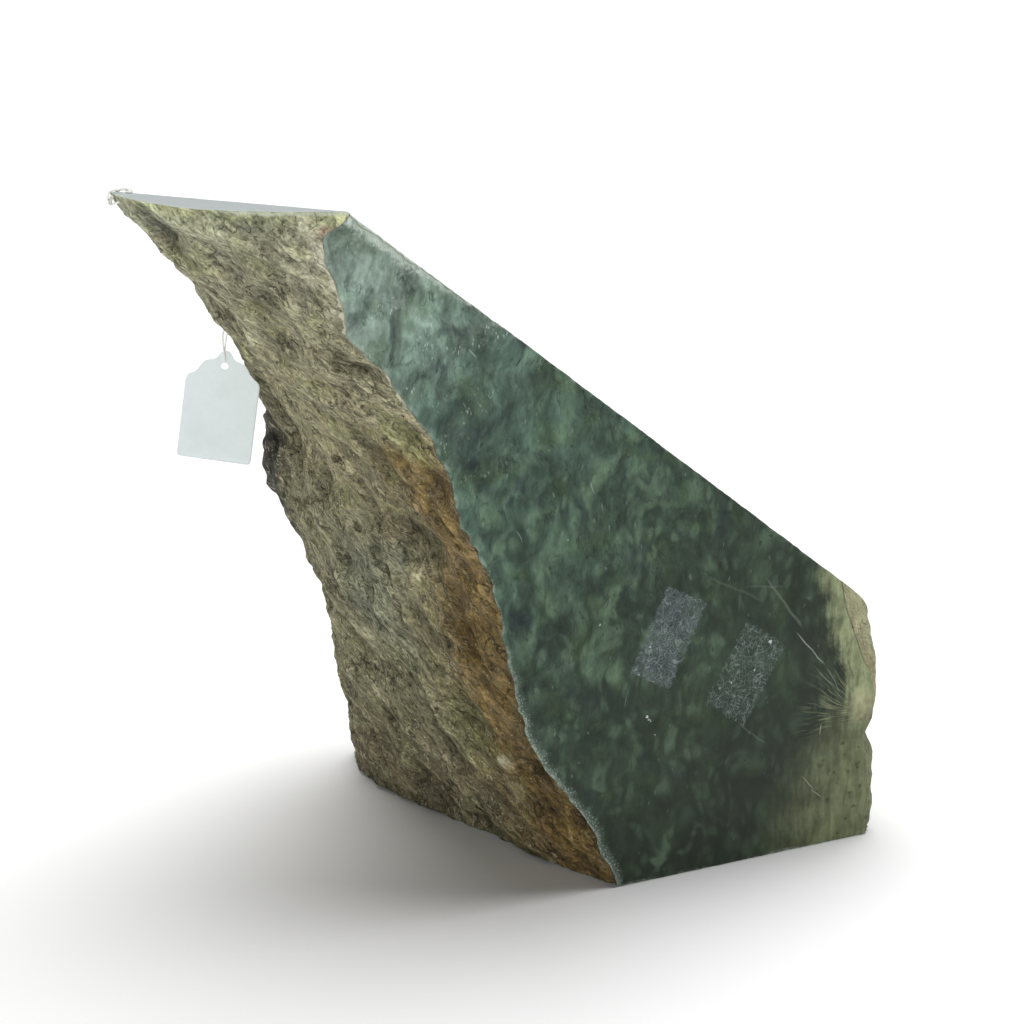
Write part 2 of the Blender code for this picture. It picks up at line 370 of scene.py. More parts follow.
# Round blobs of light or dark, as (x, z), radii across and up, and strength: below 0 is dark.
polishBlobs = (
    (-16, 178, 9, 10, 0.5), (-2, 190, 9, 7, 0.35), (12, 172, 8, 7, 0.45), (16, 162, 12, 6, 0.35),
    (-8.5, 111, 8, 8, 0.4), (-40, 143, 5, 13, 0.4), (-59, 158, 4, 13, 0.5), (-66, 172, 5, 10, 0.45),
    (-30, 108, 9, 10, 0.35), (30.5, 15.5, 12, 6, 0.4), (17.8, 8.8, 9, 7, 0.4), (-12, 46, 6, 14, 0.3),
    (8.6, 143, 12, 9, -0.5), (-21, 164, 4, 12, -0.6), (-50, 176, 4.5, 12, -0.6), (13, 190, 14, 5, -0.6),
    (39, 104, 9, 12, -0.35), (-16, 90, 6, 10, -0.35), (-80, 248, 16, 5, -0.55), (-70, 214, 22, 16, -0.35),
    (-1.7, 183, 5, 5, -0.4), (66, 118, 14, 8, -0.2), (-100, 232, 9, 8, -0.3), (-52, 238, 12, 6, -0.45),
)
# The label residue: middle (x, z), width, height and turn in degrees, film and stroke strength.
residuePatches = (
    {"at": (23.4, 107.0), "width": 22.0, "height": 39.5, "turn": 28.0, "film": 0.62, "strokes": 0.75,
     "tint": tone(92, 101, 104)},
    {"at": (63.5, 85.0), "width": 24.5, "height": 39.0, "turn": 33.0, "film": 0.55, "strokes": 0.62,
     "tint": tone(72, 84, 77)},
)
# Scratches and veins: both ends (x, z), width and strength.
scratches = (
    ((-74.5, 241.4), (-69.5, 237.2), 0.45, 0.6), ((-52.3, 164.0), (-48.5, 158.0), 0.35, 0.4),
    ((-16.4, 180.4), (-13.9, 173.7), 0.35, 0.5), ((88.9, 100.7), (106.5, 81.5), 0.45, 0.6),
    ((106.0, 82.5), (116.0, 66.0), 0.5, 0.25), ((99.0, 84.0), (118.0, 63.0), 0.4, 0.2),
    ((93.5, 34.0), (101.5, 26.0), 0.4, 0.45), ((99.0, 27.0), (106.0, 21.5), 0.35, 0.5),
    ((41.5, 132.0), (72.0, 116.0), 0.9, 0.07), ((59.7, 122.8), (59.9, 112.0), 0.8, 0.07),
    ((72.0, 128.0), (94.0, 100.0), 1.0, 0.16), ((58.0, 65.0), (76.0, 50.0), 0.8, 0.09),
    ((62.0, 124.0), (84.0, 121.0), 0.7, 0.1), ((105.0, 56.0), (103.0, 50.0), 0.4, 0.5),
)
# Bright flecks: (x, z) and radius.
flecks = (
    (12.9, 73.8, 0.55), (14.6, 71.6, 0.3), (13.8, 72.4, 0.3), (17, 65.1, 0.25), (76.2, 97.4, 0.75),
    (8.6, 93.2, 0.4), (14.1, 104.6, 0.45), (56, 82, 0.35), (50, 80.4, 0.3), (-11, 117.7, 0.3),
    (-26.9, 156.3, 0.25), (68, 86, 0.4),
)


def segmentMask(flat, start, end, width):
    # 1 on a line from start to end, thinning out at both ends.
    start, end = np.array(start, float), np.array(end, float)
    length = float(np.linalg.norm(end - start))
    x, y = (end - start) / length
    offset = flat - (*start, 0.0)
    far = calc("DOT_PRODUCT", offset, (x, y, 0.0))
    side = abs(calc("DOT_PRODUCT", offset, (-y, x, 0.0)))
    thin = min(6.0, length / 3)
    return step(far, 0.0, thin) * step(far, length, length - thin) * step(side, width, 0.0)


def patchMask(flat, patch, wobble):
    # 1 inside a turned rectangle with ragged edges.
    sine, cosine = math.sin(math.radians(patch["turn"])), math.cos(math.radians(patch["turn"]))
    offset = flat - (*patch["at"], 0.0)
    acrossOver = abs(calc("DOT_PRODUCT", offset, (cosine, -sine, 0.0))) - patch["width"] / 2
    upOver = abs(calc("DOT_PRODUCT", offset, (sine, cosine, 0.0))) - patch["height"] / 2
    return step(calc("MAXIMUM", acrossOver, upOver) + wobble, 0.7, -0.7)


def addClouds(colour, bent, curled, busy):
    # Upright smears, leaf patches, then soft round clouds with dark channels between them.
    tall = mapped(curled, turn=math.radians(-10), scale=(1.0, 0.5, 1.0))
    broad = noiseAt(mapped(tall, move=(77, 8, 0)), 19.0, 3.0)
    colour = shade(colour, busy * swing(broad, 0.36, 0.64, 0.4))
    colour = shade(colour, busy * swing(noiseAt(tall, 8.0, 4.0, 0.55), 0.3, 0.7, 0.65))
    leaf = noiseAt(mapped(bent, move=(13, 5, 0)), 17.0, 3.0, 0.55)
    colour = blend(busy * step(leaf, 0.48, 0.66) * 0.4, colour, polish["leaf"])
    for size, amount, seed in ((10.0, 0.5, 0), (5.2, 0.36, 61)):
        space = mapped(curled, move=(seed, seed / 2, 0), turn=math.radians(-10), scale=(1.0, 0.6, 1.0))
        cloud = cellsAt(space, size, "SMOOTH_F1", Smoothness=0.3)
        picked = step(noiseAt(mapped(bent, move=(seed, 3, 0)), 20.0), 0.42, 0.58)
        colour = blend(step(cloud, 0.52, 0.2) * picked * busy * amount, colour, polish["light"])
        colour = blend(step(cloud, 0.5, 0.72) * busy * (0.6 * amount), colour, polish["black"])
    navy = noiseAt(mapped(tall, move=(31, 17, 0)), 13.0, 4.0, 0.6)
    colour = blend(busy * step(navy, 0.54, 0.68) * 0.6, colour, polish["navy"])
    # The blobs that can be told apart.
    for x, z, wide, high, strength in polishBlobs:
        away = calc("LENGTH", (curled - (x, z, 0.0)) * (1 / wide, 1 / high, 1.0))
        target = polish["light" if strength > 0 else "navy"]
        colour = blend(step(away, 1.3, 0.45) * abs(strength), colour, target)
    return shade(colour, busy * swing(noiseAt(tall, 3.2, 5.0, 0.7), 0.25, 0.75, 0.4)), tall


def addGrain(colour, flat, curled, tall, busy):
    # Fine grain and streaks, dark veins, small dark specks and short pale strokes.
    colour = shade(colour, centred(noiseAt(flat, 0.9, 3.0, 0.7), 0.22))
    streaked = mapped(jittered(flat, 8.0, 4.0, 1.0), turn=math.radians(-12), scale=(1.0, 0.4, 1.0))
    colour = shade(colour, busy * swing(noiseAt(streaked, 1.9, 4.0, 0.7), 0.34, 0.66, 0.24))
    vein = contour(noiseAt(mapped(tall, move=(4, 23, 0)), 9.0, 3.0, 0.55), 0.02)
    veined = step(noiseAt(mapped(flat, move=(12, 40, 0)), 12.0), 0.46, 0.6)
    colour = blend(vein * veined * busy * 0.5, colour, polish["black"])
    dots = cellsAt(mapped(curled, scale=(1.0, 0.55, 1.0)), 5.0)
    dotted = step(noiseAt(flat, 30.0), 0.48, 0.6)
    colour = blend(step(dots, 0.16, 0.07) * dotted * 0.6, colour, polish["black"])
    dashes = cellsAt(mapped(curled, move=(8, 2, 0), turn=0.5, scale=(1.0, 0.3, 1.0)), 4.0)
    return blend(step(dashes, 0.13, 0.05) * busy * 0.3, colour, polish["paleMarksAndSheen"])


def addRightEnd(colour, flat, clouds):
    # The pale fibrous right end: olive, then pale, with a cream spot and bright fibres fanning out from it.
    x, z, _ = splitUp(flat)
    fanned = mapped(jittered(flat, 18.0, 6.0, 1.0), turn=math.radians(-34), scale=(1.0, 0.14, 1.0))
    fibres = noiseAt(fanned, 2.6, 5.0, 0.65)
    mottle = noiseAt(flat, 9.0, 5.0, 0.65)
    into = x + centred(fibres, 9.0) - lookup(z, 0.0, 140.0, rightBand) + centred(mottle, 14.0)
    low = step(z + centred(clouds, 30.0), 66.0, 50.0)
    colour = blend(step(into, low * -18.0 - 6.0, 28.0) * 0.94, colour, rightBandTones["olive"])
    colour = blend(step(into, -2.0, 10.0) * (1.0 - low) * 0.85, colour, rightBandTones["pale"])
    creamy = spot(jittered(flat, 6.0, 5.0), creamSpot, 6.0, 5.0)
    colour = blend(creamy * 0.7, colour, rightBandTones["cream"])
    spread = jittered(flat, 12.0, 3.0, 1.0) - fanFrom
    fanX, fanZ, _ = splitUp(spread)
    angle, far = calc("ARCTAN2", fanZ, fanX * -1.0), calc("LENGTH", spread)
    rays = step(noiseAt(joined(angle * 26.0, far * 0.07), 1.0, 4.0, 0.65), 0.5, 0.66) * step(far, 44.0, 10.0)
    rays = rays * step(angle, -0.35, 0.1) * step(angle, 1.5, 1.0)
    colour = blend(rays * 0.6, colour, rightBandTones["pale"])
    within = step(into, -20.0, 4.0)
    colour = shade(colour, within * swing(fibres, 0.25, 0.75, 0.5))
    colour = shade(colour, within * swing(mottle, 0.3, 0.7, 0.45))
    lowDots = step(cellsAt(jittered(flat, 4.0, 3.0), 5.0), 0.26, 0.1)
    return blend(low * step(into, -6.0, 14.0) * lowDots * 0.55, colour, polish["black"])


def addFrost(colour, flat, bent, rise):
    # Frosty flecks and a painted sheen in the upper left, a pale haze that stands for the face's reflection of the
    # bright room, and the saw cut's frosted, chipped rim along its upper part.
    upper = step(rise, 215.0, 350.0)
    sparks = cellsAt(mapped(jittered(flat, 3.0, 3.0), turn=0.7, scale=(1.0, 0.45, 1.0)), 1.5)
    cluster = step(noiseAt(flat, 14.0, 4.0, 0.65), 0.5, 0.64)
    colour = blend(step(sparks, 0.36, 0.14) * cluster * upper * 0.6, colour, polish["frost"])
    # Painted sheen: a pale haze over the upper left that stands for the face's reflection of the bright room.
    paleMarksAndSheen = step(noiseAt(mapped(bent, move=(3, 44, 0)), 13.0, 5.0, 0.7), 0.5, 0.68)
    colour = blend(paleMarksAndSheen * step(rise, 250.0, 380.0) * 0.5, colour, polish["paleMarksAndSheen"])
    runX, runZ = unit((slopeEnd - ridgeTop)[[0, 2]])
    offset = flat - (ridgeTop[0], ridgeTop[2], 0.0)
    down = calc("DOT_PRODUCT", offset, (runX, runZ, 0.0))
    off = abs(calc("DOT_PRODUCT", offset, (-runZ, runX, 0.0)))
    wide = step(down, 82.0, 10.0) * 4.6 + 0.2
    chipped = off + centred(noiseAt(jittered(flat, 5.0, 4.0), 4.0, 5.0, 0.75), 6.5)
    flaky = noiseAt(mapped(flat, turn=0.6, scale=(1.0, 0.5, 1.0)), 2.4, 5.0, 0.75)
    rim = step(chipped - wide, 1.4, -0.8) * step(down, 92.0, 60.0) * (step(flaky, 0.4, 0.58) * 0.6 + 0.4)
    return blend(rim * 0.85, colour, polish["rim"]), upper


def addResidue(colour, flat):
    # Label residue: a thin film full of short curly strokes, bright and dark.
    wobble = centred(noiseAt(flat, 2.5, 3.0, 0.7), 5.0)
    lines = []
    for seed, size in ((0, 4.4), (40, 3.6), (90, 3.0), (130, 2.4)):
        spread = mapped(jittered(flat, 6.0, 7.0, 1.0), move=(seed, seed / 3, 0), turn=seed)
        broken = step(noiseAt(mapped(flat, move=(seed, 5, 0)), 3.0, 1.0), 0.36, 0.5)
        lines.append(contour(noiseAt(spread, size, 0.0, 0.5, 0.3), 0.024) * broken)
    strokes = functools.reduce(lambda a, b: calc("MAXIMUM", a, b), lines)
    darkSpace = mapped(jittered(flat, 5.0, 6.0, 1.0), move=(70, 11, 0))
    darkStrokes = contour(noiseAt(darkSpace, 3.4, 0.0, 0.5, 0.3), 0.03)
    thick = step(noiseAt(flat, 6.0, 3.0, 0.6), 0.34, 0.66)
    areas = []
    for patch in residuePatches:
        area = patchMask(flat, patch, wobble)
        colour = blend(area * (thick * 0.6 + 0.5) * patch["film"], colour, patch["tint"])
        colour = blend(area * darkStrokes * 0.4, colour, polish["black"])
        colour = blend(area * strokes * (thick * 0.5 + 0.6) * patch["strokes"], colour, polish["stroke"])
        areas.append(area)
    return colour, calc("MAXIMUM", *areas)


def makePolished():
    # The polished face: a tone by place, then clouds, grain, the right end, scratches, frost with a painted sheen,
    # residue and wear.
    made, shader = newMaterial("polished_jade", polish["specular"], polish["roughness"])
    x, _, z = splitUp(placeMm())
    flat = joined(x, z)
    bent = jittered(flat, 26.0, 14.0, 1.0)
    curled = jittered(bent, 10.0, 5.0, 1.0)
    rise = z - x
    clouds = noiseAt(bent, 40.0, 4.0, 0.55)
    colour = ramp(rise + centred(clouds, 130.0), -120.0, 400.0, polishTones)
    # Contrast grows from the calm bottom right to the busy upper left.
    busy = step(rise, -60.0, 170.0) * 0.75 + 0.25
    colour, tall = addClouds(colour, bent, curled, busy)
    colour = addGrain(colour, flat, curled, tall, busy)
    colour = addRightEnd(colour, flat, clouds)
    shaken = jittered(flat, 9.0, 2.5)
    for start, end, width, strength in scratches:
        colour = blend(segmentMask(shaken, start, end, width) * strength, colour, polish["scratch"])
    colour, upper = addFrost(colour, flat, bent, rise)
    colour, film = addResidue(colour, flat)
    ragged = jittered(flat, 0.9, 1.2, 0.0)
    for x, y, radius in flecks:
        colour = blend(spot(ragged, (x, y, 0.0), radius, 0.3) * 0.85, colour, polish["fleck"])
    # Beside the lower ridge the face is scuffed pale, and the worn edges are chalky here and there.
    flaky = noiseAt(flat, 3.5, 5.0, 0.75)
    scuff = step(attribute("rim") + centred(flaky, 9.0), 4.6, -0.5) * step(z, 118.0, 80.0)
    colour = blend(scuff * 0.34, colour, polish["scuff"])
    marks = step(noiseAt(flat, 0.8, 3.0, 0.7), 0.56, 0.66)
    colour = blend(scuff * marks * 0.6, colour, polish["scuffMark"])
    chalk = attribute("worn") * (step(flaky, 0.4, 0.62) * 0.65 + 0.1)
    feed(shader.inputs["Base Color"], blend(chalk, colour, polish["chalk"]))
    dull = calc("MAXIMUM", film, chalk) * 0.4 + upper * 0.15
    feed(shader.inputs["Roughness"], dull + polish["roughness"])
    return made


# The rind's colour by height, and the right end's.
rindTones = (
    (0, tone(90, 78, 54)), (18, tone(100, 88, 63)), (60, tone(109, 102, 76)), (120, tone(114, 108, 82)),
    (190, tone(115, 111, 87)), (250, tone(120, 118, 96)), (285, tone(132, 132, 111)), (300, tone(144, 147, 122)),
)
rindEndTones = (
    (0, tone(96, 98, 72)), (12, tone(116, 120, 92)), (40, tone(122, 126, 98)), (62, tone(152, 142, 110)),
    (90, tone(156, 154, 124)), (120, tone(146, 146, 116)),
)
# The light colour serves pale hairlines, crumbs and a painted highlight on a pit's rim; the dark colour serves dark
# lines and pits, and also painted shade in creases and in that pit.
rindLook = {
    "gain": 1.3, "light": tone(176, 170, 140), "dark": tone(44, 40, 30), "brown": tone(94, 78, 52),
    "orange": tone(104, 86, 46), "olive": tone(104, 108, 66), "grey": tone(112, 120, 106),
    "lime": tone(158, 162, 122), "cream": tone(192, 190, 168), "lip": tone(172, 178, 160),
    "charcoal": tone(52, 52, 49), "red": tone(128, 84, 68),
}
# Patches of other colours: shift, size, detail, roughness, the noise where they start and are whole, colour, strength.
rindPatches = (
    ((9, 31, 2), 19.0, 4.0, 0.6, 0.5, 0.64, "olive", 0.4), ((51, 3, 22), 12.0, 4.0, 0.65, 0.54, 0.68, "brown", 0.4),
    ((5, 63, 42), 9.0, 5.0, 0.7, 0.56, 0.72, "grey", 0.35),
)
# Which way the splinters run over the rind.
splinterRun = unit(np.array([0.45, -0.6, -0.66]))
# Single marks on the rind: place, radius, softness, colour and strength. Two of them are a painted highlight and
# painted shade at a pit.
rindSpots = (
    ((-136.1, 2.5, 291.4), 3, 2.5, "red", 0.8), ((-137.9, 2, 283.9), 4, 3, "cream", 0.6),
    ((-136.9, 7.1, 273.3), 4, 4, "cream", 0.5), ((-143, 9, 296), 6, 6, "cream", 0.4),
    ((-128, 2, 260), 5, 4, "cream", 0.55), ((-92, 12, 200), 7, 6, "olive", 0.6),
    # The light mark at (-68.3, 50.4, 137.7) is a painted highlight, the lit lower right rim of the pit at (-76, 52,
    # 142), and the dark mark at (-71.2, 58.9, 140.5) is painted shade inside that pit.
    ((-68.3, 50.4, 137.7), 4.5, 3.5, "light", 0.75), ((-62, 46, 130), 7, 6, "olive", 0.6),
    ((-70.5, 66, 140), 8, 7, "grey", 0.5), ((-71.2, 58.9, 140.5), 3.6, 1.6, "dark", 1.0),
    ((-70.3, 24.1, 152.6), 0.9, 0.6, "cream", 1.0), ((-66, 90, 118), 26, 20, "grey", 0.4),
    ((-43.1, 34.8, 68.6), 2.6, 2, "dark", 0.7), ((-36.5, 34, 52), 4.5, 3.5, "cream", 0.6),
    ((-50, 32, 83), 12, 10, "orange", 0.5), ((-58, 16, 118), 12, 10, "orange", 0.7),
    ((-30, 24, 46), 10, 10, "orange", 0.5), ((-16, 14, 18), 10, 8, "orange", 0.55),
    ((-45, 50, 60), 16, 14, "olive", 0.45), ((-73, 188, 160), 20, 10, "charcoal", 0.95),
    ((-67, 180, 141), 16, 12, "charcoal", 0.85), ((-75, 172, 178), 16, 14, "charcoal", 0.6),
    ((-176, 72, 292), 12, 12, "charcoal", 0.45), ((-62, 176, 110), 12, 12, "charcoal", 0.5),
)
# Rings of dark pits on the middle rind: place, radius.
rindRings = (((-111.0, 34.9, 217.9), 5.5), ((-104.5, 21.8, 215.5), 4.5))


def streakSpace(where, stretch):
    # The place measured along the splinters, shrunk by the stretch, and across them.
    side = unit(np.cross(splinterRun, [0.0, 0.0, 1.0]))
    axes = (splinterRun / stretch, side, np.cross(splinterRun, side))
    return joined(*(calc("DOT_PRODUCT", where, tuple(axis)) for axis in axes))


def addStains(colour, where, bent, curled, wide):
    # Patches, grey-green low on the left, brown beside the lower ridge, lime under the top, and the single marks.
    _, y, z = splitUp(where)
    away = attribute("fromRidge")
    for move, size, detail, rough, low, high, key, strength in rindPatches:
        mask = step(noiseAt(mapped(bent, move=move), size, detail, rough), low, high)
        colour = blend(mask * strength, colour, rindLook[key])
    across = centred(wide, 70.0)
    greyer = step(away + across, 45.0, 85.0) * step(z, 190.0, 130.0)
    colour = blend(greyer * 0.22, colour, rindLook["grey"])
    browner = step(away + centred(wide, 60.0), 52.0, 22.0) * step(z + across, 205.0, 178.0)
    colour = blend(browner * 0.8, colour, rindLook["brown"])
    rusty = browner * step(noiseAt(curled, 9.0, 4.0, 0.6), 0.42, 0.6)
    colour = blend(rusty * 0.55, colour, rindLook["orange"])
    ragged = centred(noiseAt(curled, 7.0, 4.0, 0.7), 16.0)
    rim = step(z + ragged, 293.5, 298.0) * step(y, 84.0, 66.0)
    colour = blend(rim * 0.7, colour, rindLook["lime"])
    for at, radius, soft, key, strength in rindSpots:
        mask = spot(curled if radius > 3.5 else where, at, radius, soft)
        colour = blend(mask * strength, colour, rindLook[key])
    return colour, browner


def addSplinters(colour, where, curled, browner):
    # Chipped faces painted lighter and darker one by one, with painted shade in the gaps between some of them, painted
    # light and shade along the relief, then hairlines, crumbs and pocks.
    facetSpace = streakSpace(jittered(where, 6.0, 6.0), 1.7)
    # Each chipped face is made lighter or darker by its own amount, as if it met the light at its own angle: painted
    # light and shade.
    facetShading = splitUp(cellsAt(facetSpace, 6.5, out="Color"))[0]
    colour = shade(colour, centred(facetShading, 0.24))
    gapped = step(noiseAt(where, 13.0, 3.0, 0.6), 0.48, 0.6)
    # The gaps are painted dark: painted shade in the creases between the faces.
    gap = step(cellsAt(facetSpace, 6.5, "DISTANCE_TO_EDGE"), 0.07, 0.01) * gapped
    gap = gap * step(splitUp(where)[2], 294.0, 280.0)
    colour = blend(gap * 0.6, colour, rindLook["dark"])
    broad = noiseAt(streakSpace(curled, 1.6), 7.0, 7.0, 0.7)
    fine = noiseAt(streakSpace(jittered(where, 3.0, 4.0), 2.0), 1.5, 4.0, 0.7)
    long = noiseAt(streakSpace(jittered(where, 14.0, 8.0, 1.0), 5.0), 5.0, 5.0, 0.6)
    # The same noises that raise the bump's relief make its high streaks lighter and its low ones darker: painted light
    # and shade.
    for reliefLight, low, span in ((broad, 0.32, 0.55), (fine, 0.34, 0.62), (long, 0.34, 0.5)):
        colour = shade(colour, swing(reliefLight, low, 1 - low, span))
    tangle = streakSpace(jittered(where, 7.0, 5.0, 2.0), 4.0)
    paleSome = step(noiseAt(where, 6.0, 3.0, 0.6), 0.42, 0.58)
    paleHair = contour(noiseAt(tangle, 2.8, 1.0, 0.5, 0.2), 0.035) * paleSome
    colour = blend(paleHair * (browner * -0.4 + 0.6), colour, rindLook["light"])
    darkSome = step(noiseAt(mapped(where, move=(17, 3, 8)), 8.0, 3.0, 0.6), 0.42, 0.58)
    darkHair = contour(noiseAt(mapped(tangle, move=(7, 19, 33)), 3.6, 1.0, 0.5, 0.2), 0.03) * darkSome
    colour = blend(darkHair * 0.55, colour, rindLook["dark"])
    crumbs = step(cellsAt(jittered(where, 2.0, 1.5), 3.6), 0.13, 0.05)
    colour = blend(crumbs * 0.6, colour, rindLook["light"])
    pocks = step(cellsAt(mapped(curled, move=(21, 5, 3)), 6.0), 0.16, 0.06)
    colour = blend(pocks * 0.7, colour, rindLook["dark"])
    pitted = step(noiseAt(where, 2.4), 0.42, 0.55)
    for at, radius in rindRings:
        ring = step(abs(calc("DISTANCE", curled, at) - radius), 2.0, 0.4) * pitted
        colour = blend(ring * 0.65, colour, rindLook["dark"])
    height = broad * 0.8 + long * 0.9 + fine * 0.5 + (darkHair + gap) * -0.25
    # The fine relief makes the rind's raised splinters lighter and its creases darker: painted highlight and painted
    # shade.
    return shade(colour, attribute("cavity") * 0.13), broad, height


def makeRind():
    # The rind: a tone by height, then stains, splinters with painted light and shade, the right end and the worn edges.
    made, shader = newMaterial("rough_rind", 0.15, 0.7)
    where = placeMm()
    x, _, z = splitUp(where)
    bent = jittered(where, 24.0, 22.0)
    curled = jittered(bent, 6.0, 6.0)
    wide = noiseAt(bent, 30.0, 4.0, 0.6)
    colour = ramp(z + centred(wide, 50.0), 0.0, 300.0, rindTones)
    colour, browner = addStains(colour, where, bent, curled, wide)
    colour, broad, relief = addSplinters(colour, where, curled, browner)
    # The right end is smoother and paler, by height.
    ending = step(attribute("fromEnd") + centred(wide, 30.0), 62.0, 40.0)
    endTone = ramp(z + centred(broad, 24.0), 0.0, 140.0, rindEndTones)
    # The right end's tone is also made lighter and darker by the relief's broad noise: painted light and shade.
    colour = blend(ending * 0.85, colour, shade(endTone, swing(broad, 0.3, 0.7, 0.5)))
    # The chalky crust on the upper ridge, chalk on the worn edges, and the pale lip right under the sawn top.
    crustWide = centred(noiseAt(where, 5.0, 5.0, 0.7), 12.0)
    crust = step(attribute("fromRidge") + crustWide, 3.2, 0.8) * step(z, 212.0, 226.0) * step(z, 292.0, 284.0)
    colour = blend(crust * 0.8, colour, rindLook["cream"])
    chalk = attribute("worn") * step(noiseAt(where, 3.5, 5.0, 0.75), 0.48, 0.64)
    colour = blend(chalk * 0.55, colour, rindLook["cream"])
    lipped = z + centred(noiseAt(where, 5.0, 4.0, 0.7), 3.0)
    colour = blend(step(lipped, 297.6, 299.0) * step(x, -172.0, -160.0) * 0.8, colour, rindLook["lip"])
    feed(shader.inputs["Base Color"], colour * rindLook["gain"])
    bumped(shader, relief, 1.0, 2.2)
    return made


# The sawn cuts, as first colour, second colour and roughness: the pale bluish top, and the grey-green slope and base.
sawnLooks = {
    "sawn_top": (tone(172, 178, 178), tone(140, 146, 144), 0.55),
    "sawn_slope": (tone(104, 120, 106), tone(136, 150, 134), 0.5),
}


def makeSawn(name):
    # A sawn cut: cloudy, with fine saw marks one way, and pale where its edges are worn.
    first, second, roughness = sawnLooks[name]
    made, shader = newMaterial(name, 0.3, roughness)
    where = placeMm()
    colour = blend(step(noiseAt(where, 24.0, 5.0, 0.6), 0.52, 0.75), first, second)
    fine = noiseAt(mapped(where, turn=0.4, scale=(1.0, 0.2, 1.0)), 1.5, 4.0, 0.6)
    colour = blend(step(fine, 0.5, 0.8) * 0.35, colour, second)
    feed(shader.inputs["Base Color"], blend(attribute("worn"), colour, tone(200, 208, 190)))
    bumped(shader, fine, 0.25, 0.2)
    return made


print("looks described")

# The stone's own shape, as in the part's source: cuts, ridge, plan posts and relief.
height = 300.0
ridgeTop = np.array([-126.0, 0.0, height])
hornTip = np.array([-183.0, 98.0, height])
slopeEnd = np.array([113.0, 0.0, 120.0])
ridgeLine = (
    (0, 0), (18, -9), (36, -19), (53, -32), (71, -44), (85, -49), (101, -54), (129, -59), (145, -64),
    (156, -69), (169, -77), (180, -80), (193, -84), (207, -90), (224, -104), (236, -113), (245, -121),
    (252, -128), (267, -131), (280, -137), (291, -136), (296, -127), (height, -126),
)
rightLine = (
    (0, 128), (6, 132), (16, 132), (27, 130), (37, 129), (46, 127), (54, 132), (66, 133), (74, 131),
    (80, 127), (92, 122), (107, 116), (120, 113), (height, 95),
)
plans = {
    0: (
        (-6, 28), (-14, 80), (-23, 140), (-21, 190), (-4, 219), (55, 227),
        (110, 205), (134, 150), (141, 90), (140, 34), (134, 7),
    ),
    55: (
        (-36, 28), (-41, 80), (-40, 140), (-32, 188), (-9, 217), (58, 228),
        (116, 204), (141, 150), (149, 90), (147, 34), (138, 7),
    ),
    120: (
        (-64, 28), (-69, 80), (-66, 140), (-54, 188), (-26, 217), (55, 227),
        (116, 204), (141, 150), (149, 90), (143, 28), (129, 3),
    ),
    150: (
        (-70, 28), (-76, 80), (-74, 140), (-67, 188), (-40, 217), (53, 227),
        (114, 204), (140, 150), (145, 90), (137, 28), (123, 3),
    ),
    180: (
        (-84, 28), (-86, 80), (-77, 140), (-71, 188), (-46, 214), (50, 226),
        (112, 204), (138, 150), (141, 90), (130, 28), (117, 3),
    ),
    210: (
        (-103, 28), (-107, 80), (-99, 134), (-93, 164), (-66, 208), (45, 226),
        (110, 204), (136, 150), (138, 90), (126, 28), (112, 3),
    ),
    240: (
        (-126, 28), (-133, 76), (-124, 126), (-110, 172), (-78, 207), (40, 226),
        (108, 204), (134, 150), (134, 90), (122, 28), (107, 3),
    ),
    270: (
        (-147, 27), (-158, 66), (-153, 110), (-138, 156), (-104, 204), (32, 226),
        (106, 204), (132, 150), (130, 90), (118, 28), (102, 3),
    ),
    height: (
        (-163, 25), (-179, 55), (-184, 94), (-176, 138), (-130, 200), (25, 226),
        (104, 204), (130, 150), (128, 90), (114, 28), (98, 3),
    ),
}
postShares = (0.0, 0.045, 0.12, 0.21, 0.285, 0.35, 0.46, 0.57, 0.69, 0.80, 0.91, 0.97, 1.0)
lumps = {"size": 46.0, "height": 3.0, "seed": 3}
splinters = {"size": 15.0, "stretch": 2.6, "height": 2.2, "seed": 8, "dip": 28.0}
pits = (
    {"at": (-76.0, 52.0, 142.0), "radius": 7.0, "depth": 6.0},
    {"at": (-31.0, 58.0, 60.0), "radius": 5.0, "depth": 3.0},
    {"at": (-100.0, 70.0, 215.0), "radius": 16.0, "depth": 3.5},
)
# Dark knobs that stand out on the left outline: place, radius, height.
knobs = (
    ((-78.0, 186.0, 178.0), 5.0, 3.6), ((-75.0, 190.0, 168.0), 3.5, 3.0), ((-71.0, 187.0, 156.0), 5.0, 3.6),
    ((-67.0, 186.0, 146.0), 4.0, 3.2), ((-63.0, 188.0, 136.0), 4.0, 2.4),
)
edgeFade = 12.0
# The finer relief on top, along the splinters: (size across, stretch, height, seed).
fineSplinters = ((17.0, 1.9, 2.0, 21), (7.5, 2.2, 1.3, 22), (3.2, 2.0, 0.55, 23))
# The rind's grid before the sloping cut: rows up, and columns in each part of the way round (share round, count).
gridRows = 262
gridColumns = ((0.012, 6), (0.33, 262), (0.93, 112), (1.0, 22))


def planCurve(heights, around):
    # Each column's (x, y) at each height: posts blended up the height, then round the shares.
    levels = list(plans)
    posts = through(levels, np.array([plans[level] for level in levels], float), heights)
    ridge = np.interp(heights, *np.array(ridgeLine, float).T)
    right = np.interp(heights, *np.array(rightLine, float).T)
    zero = np.zeros_like(heights)
    first = np.stack([ridge, zero], axis=-1)[:, None]
    last = np.stack([right, zero], axis=-1)[:, None]
    posts = np.swapaxes(np.concatenate([first, posts, last], axis=1), 0, 1)
    return np.swapaxes(through(postShares, posts, around), 0, 1)


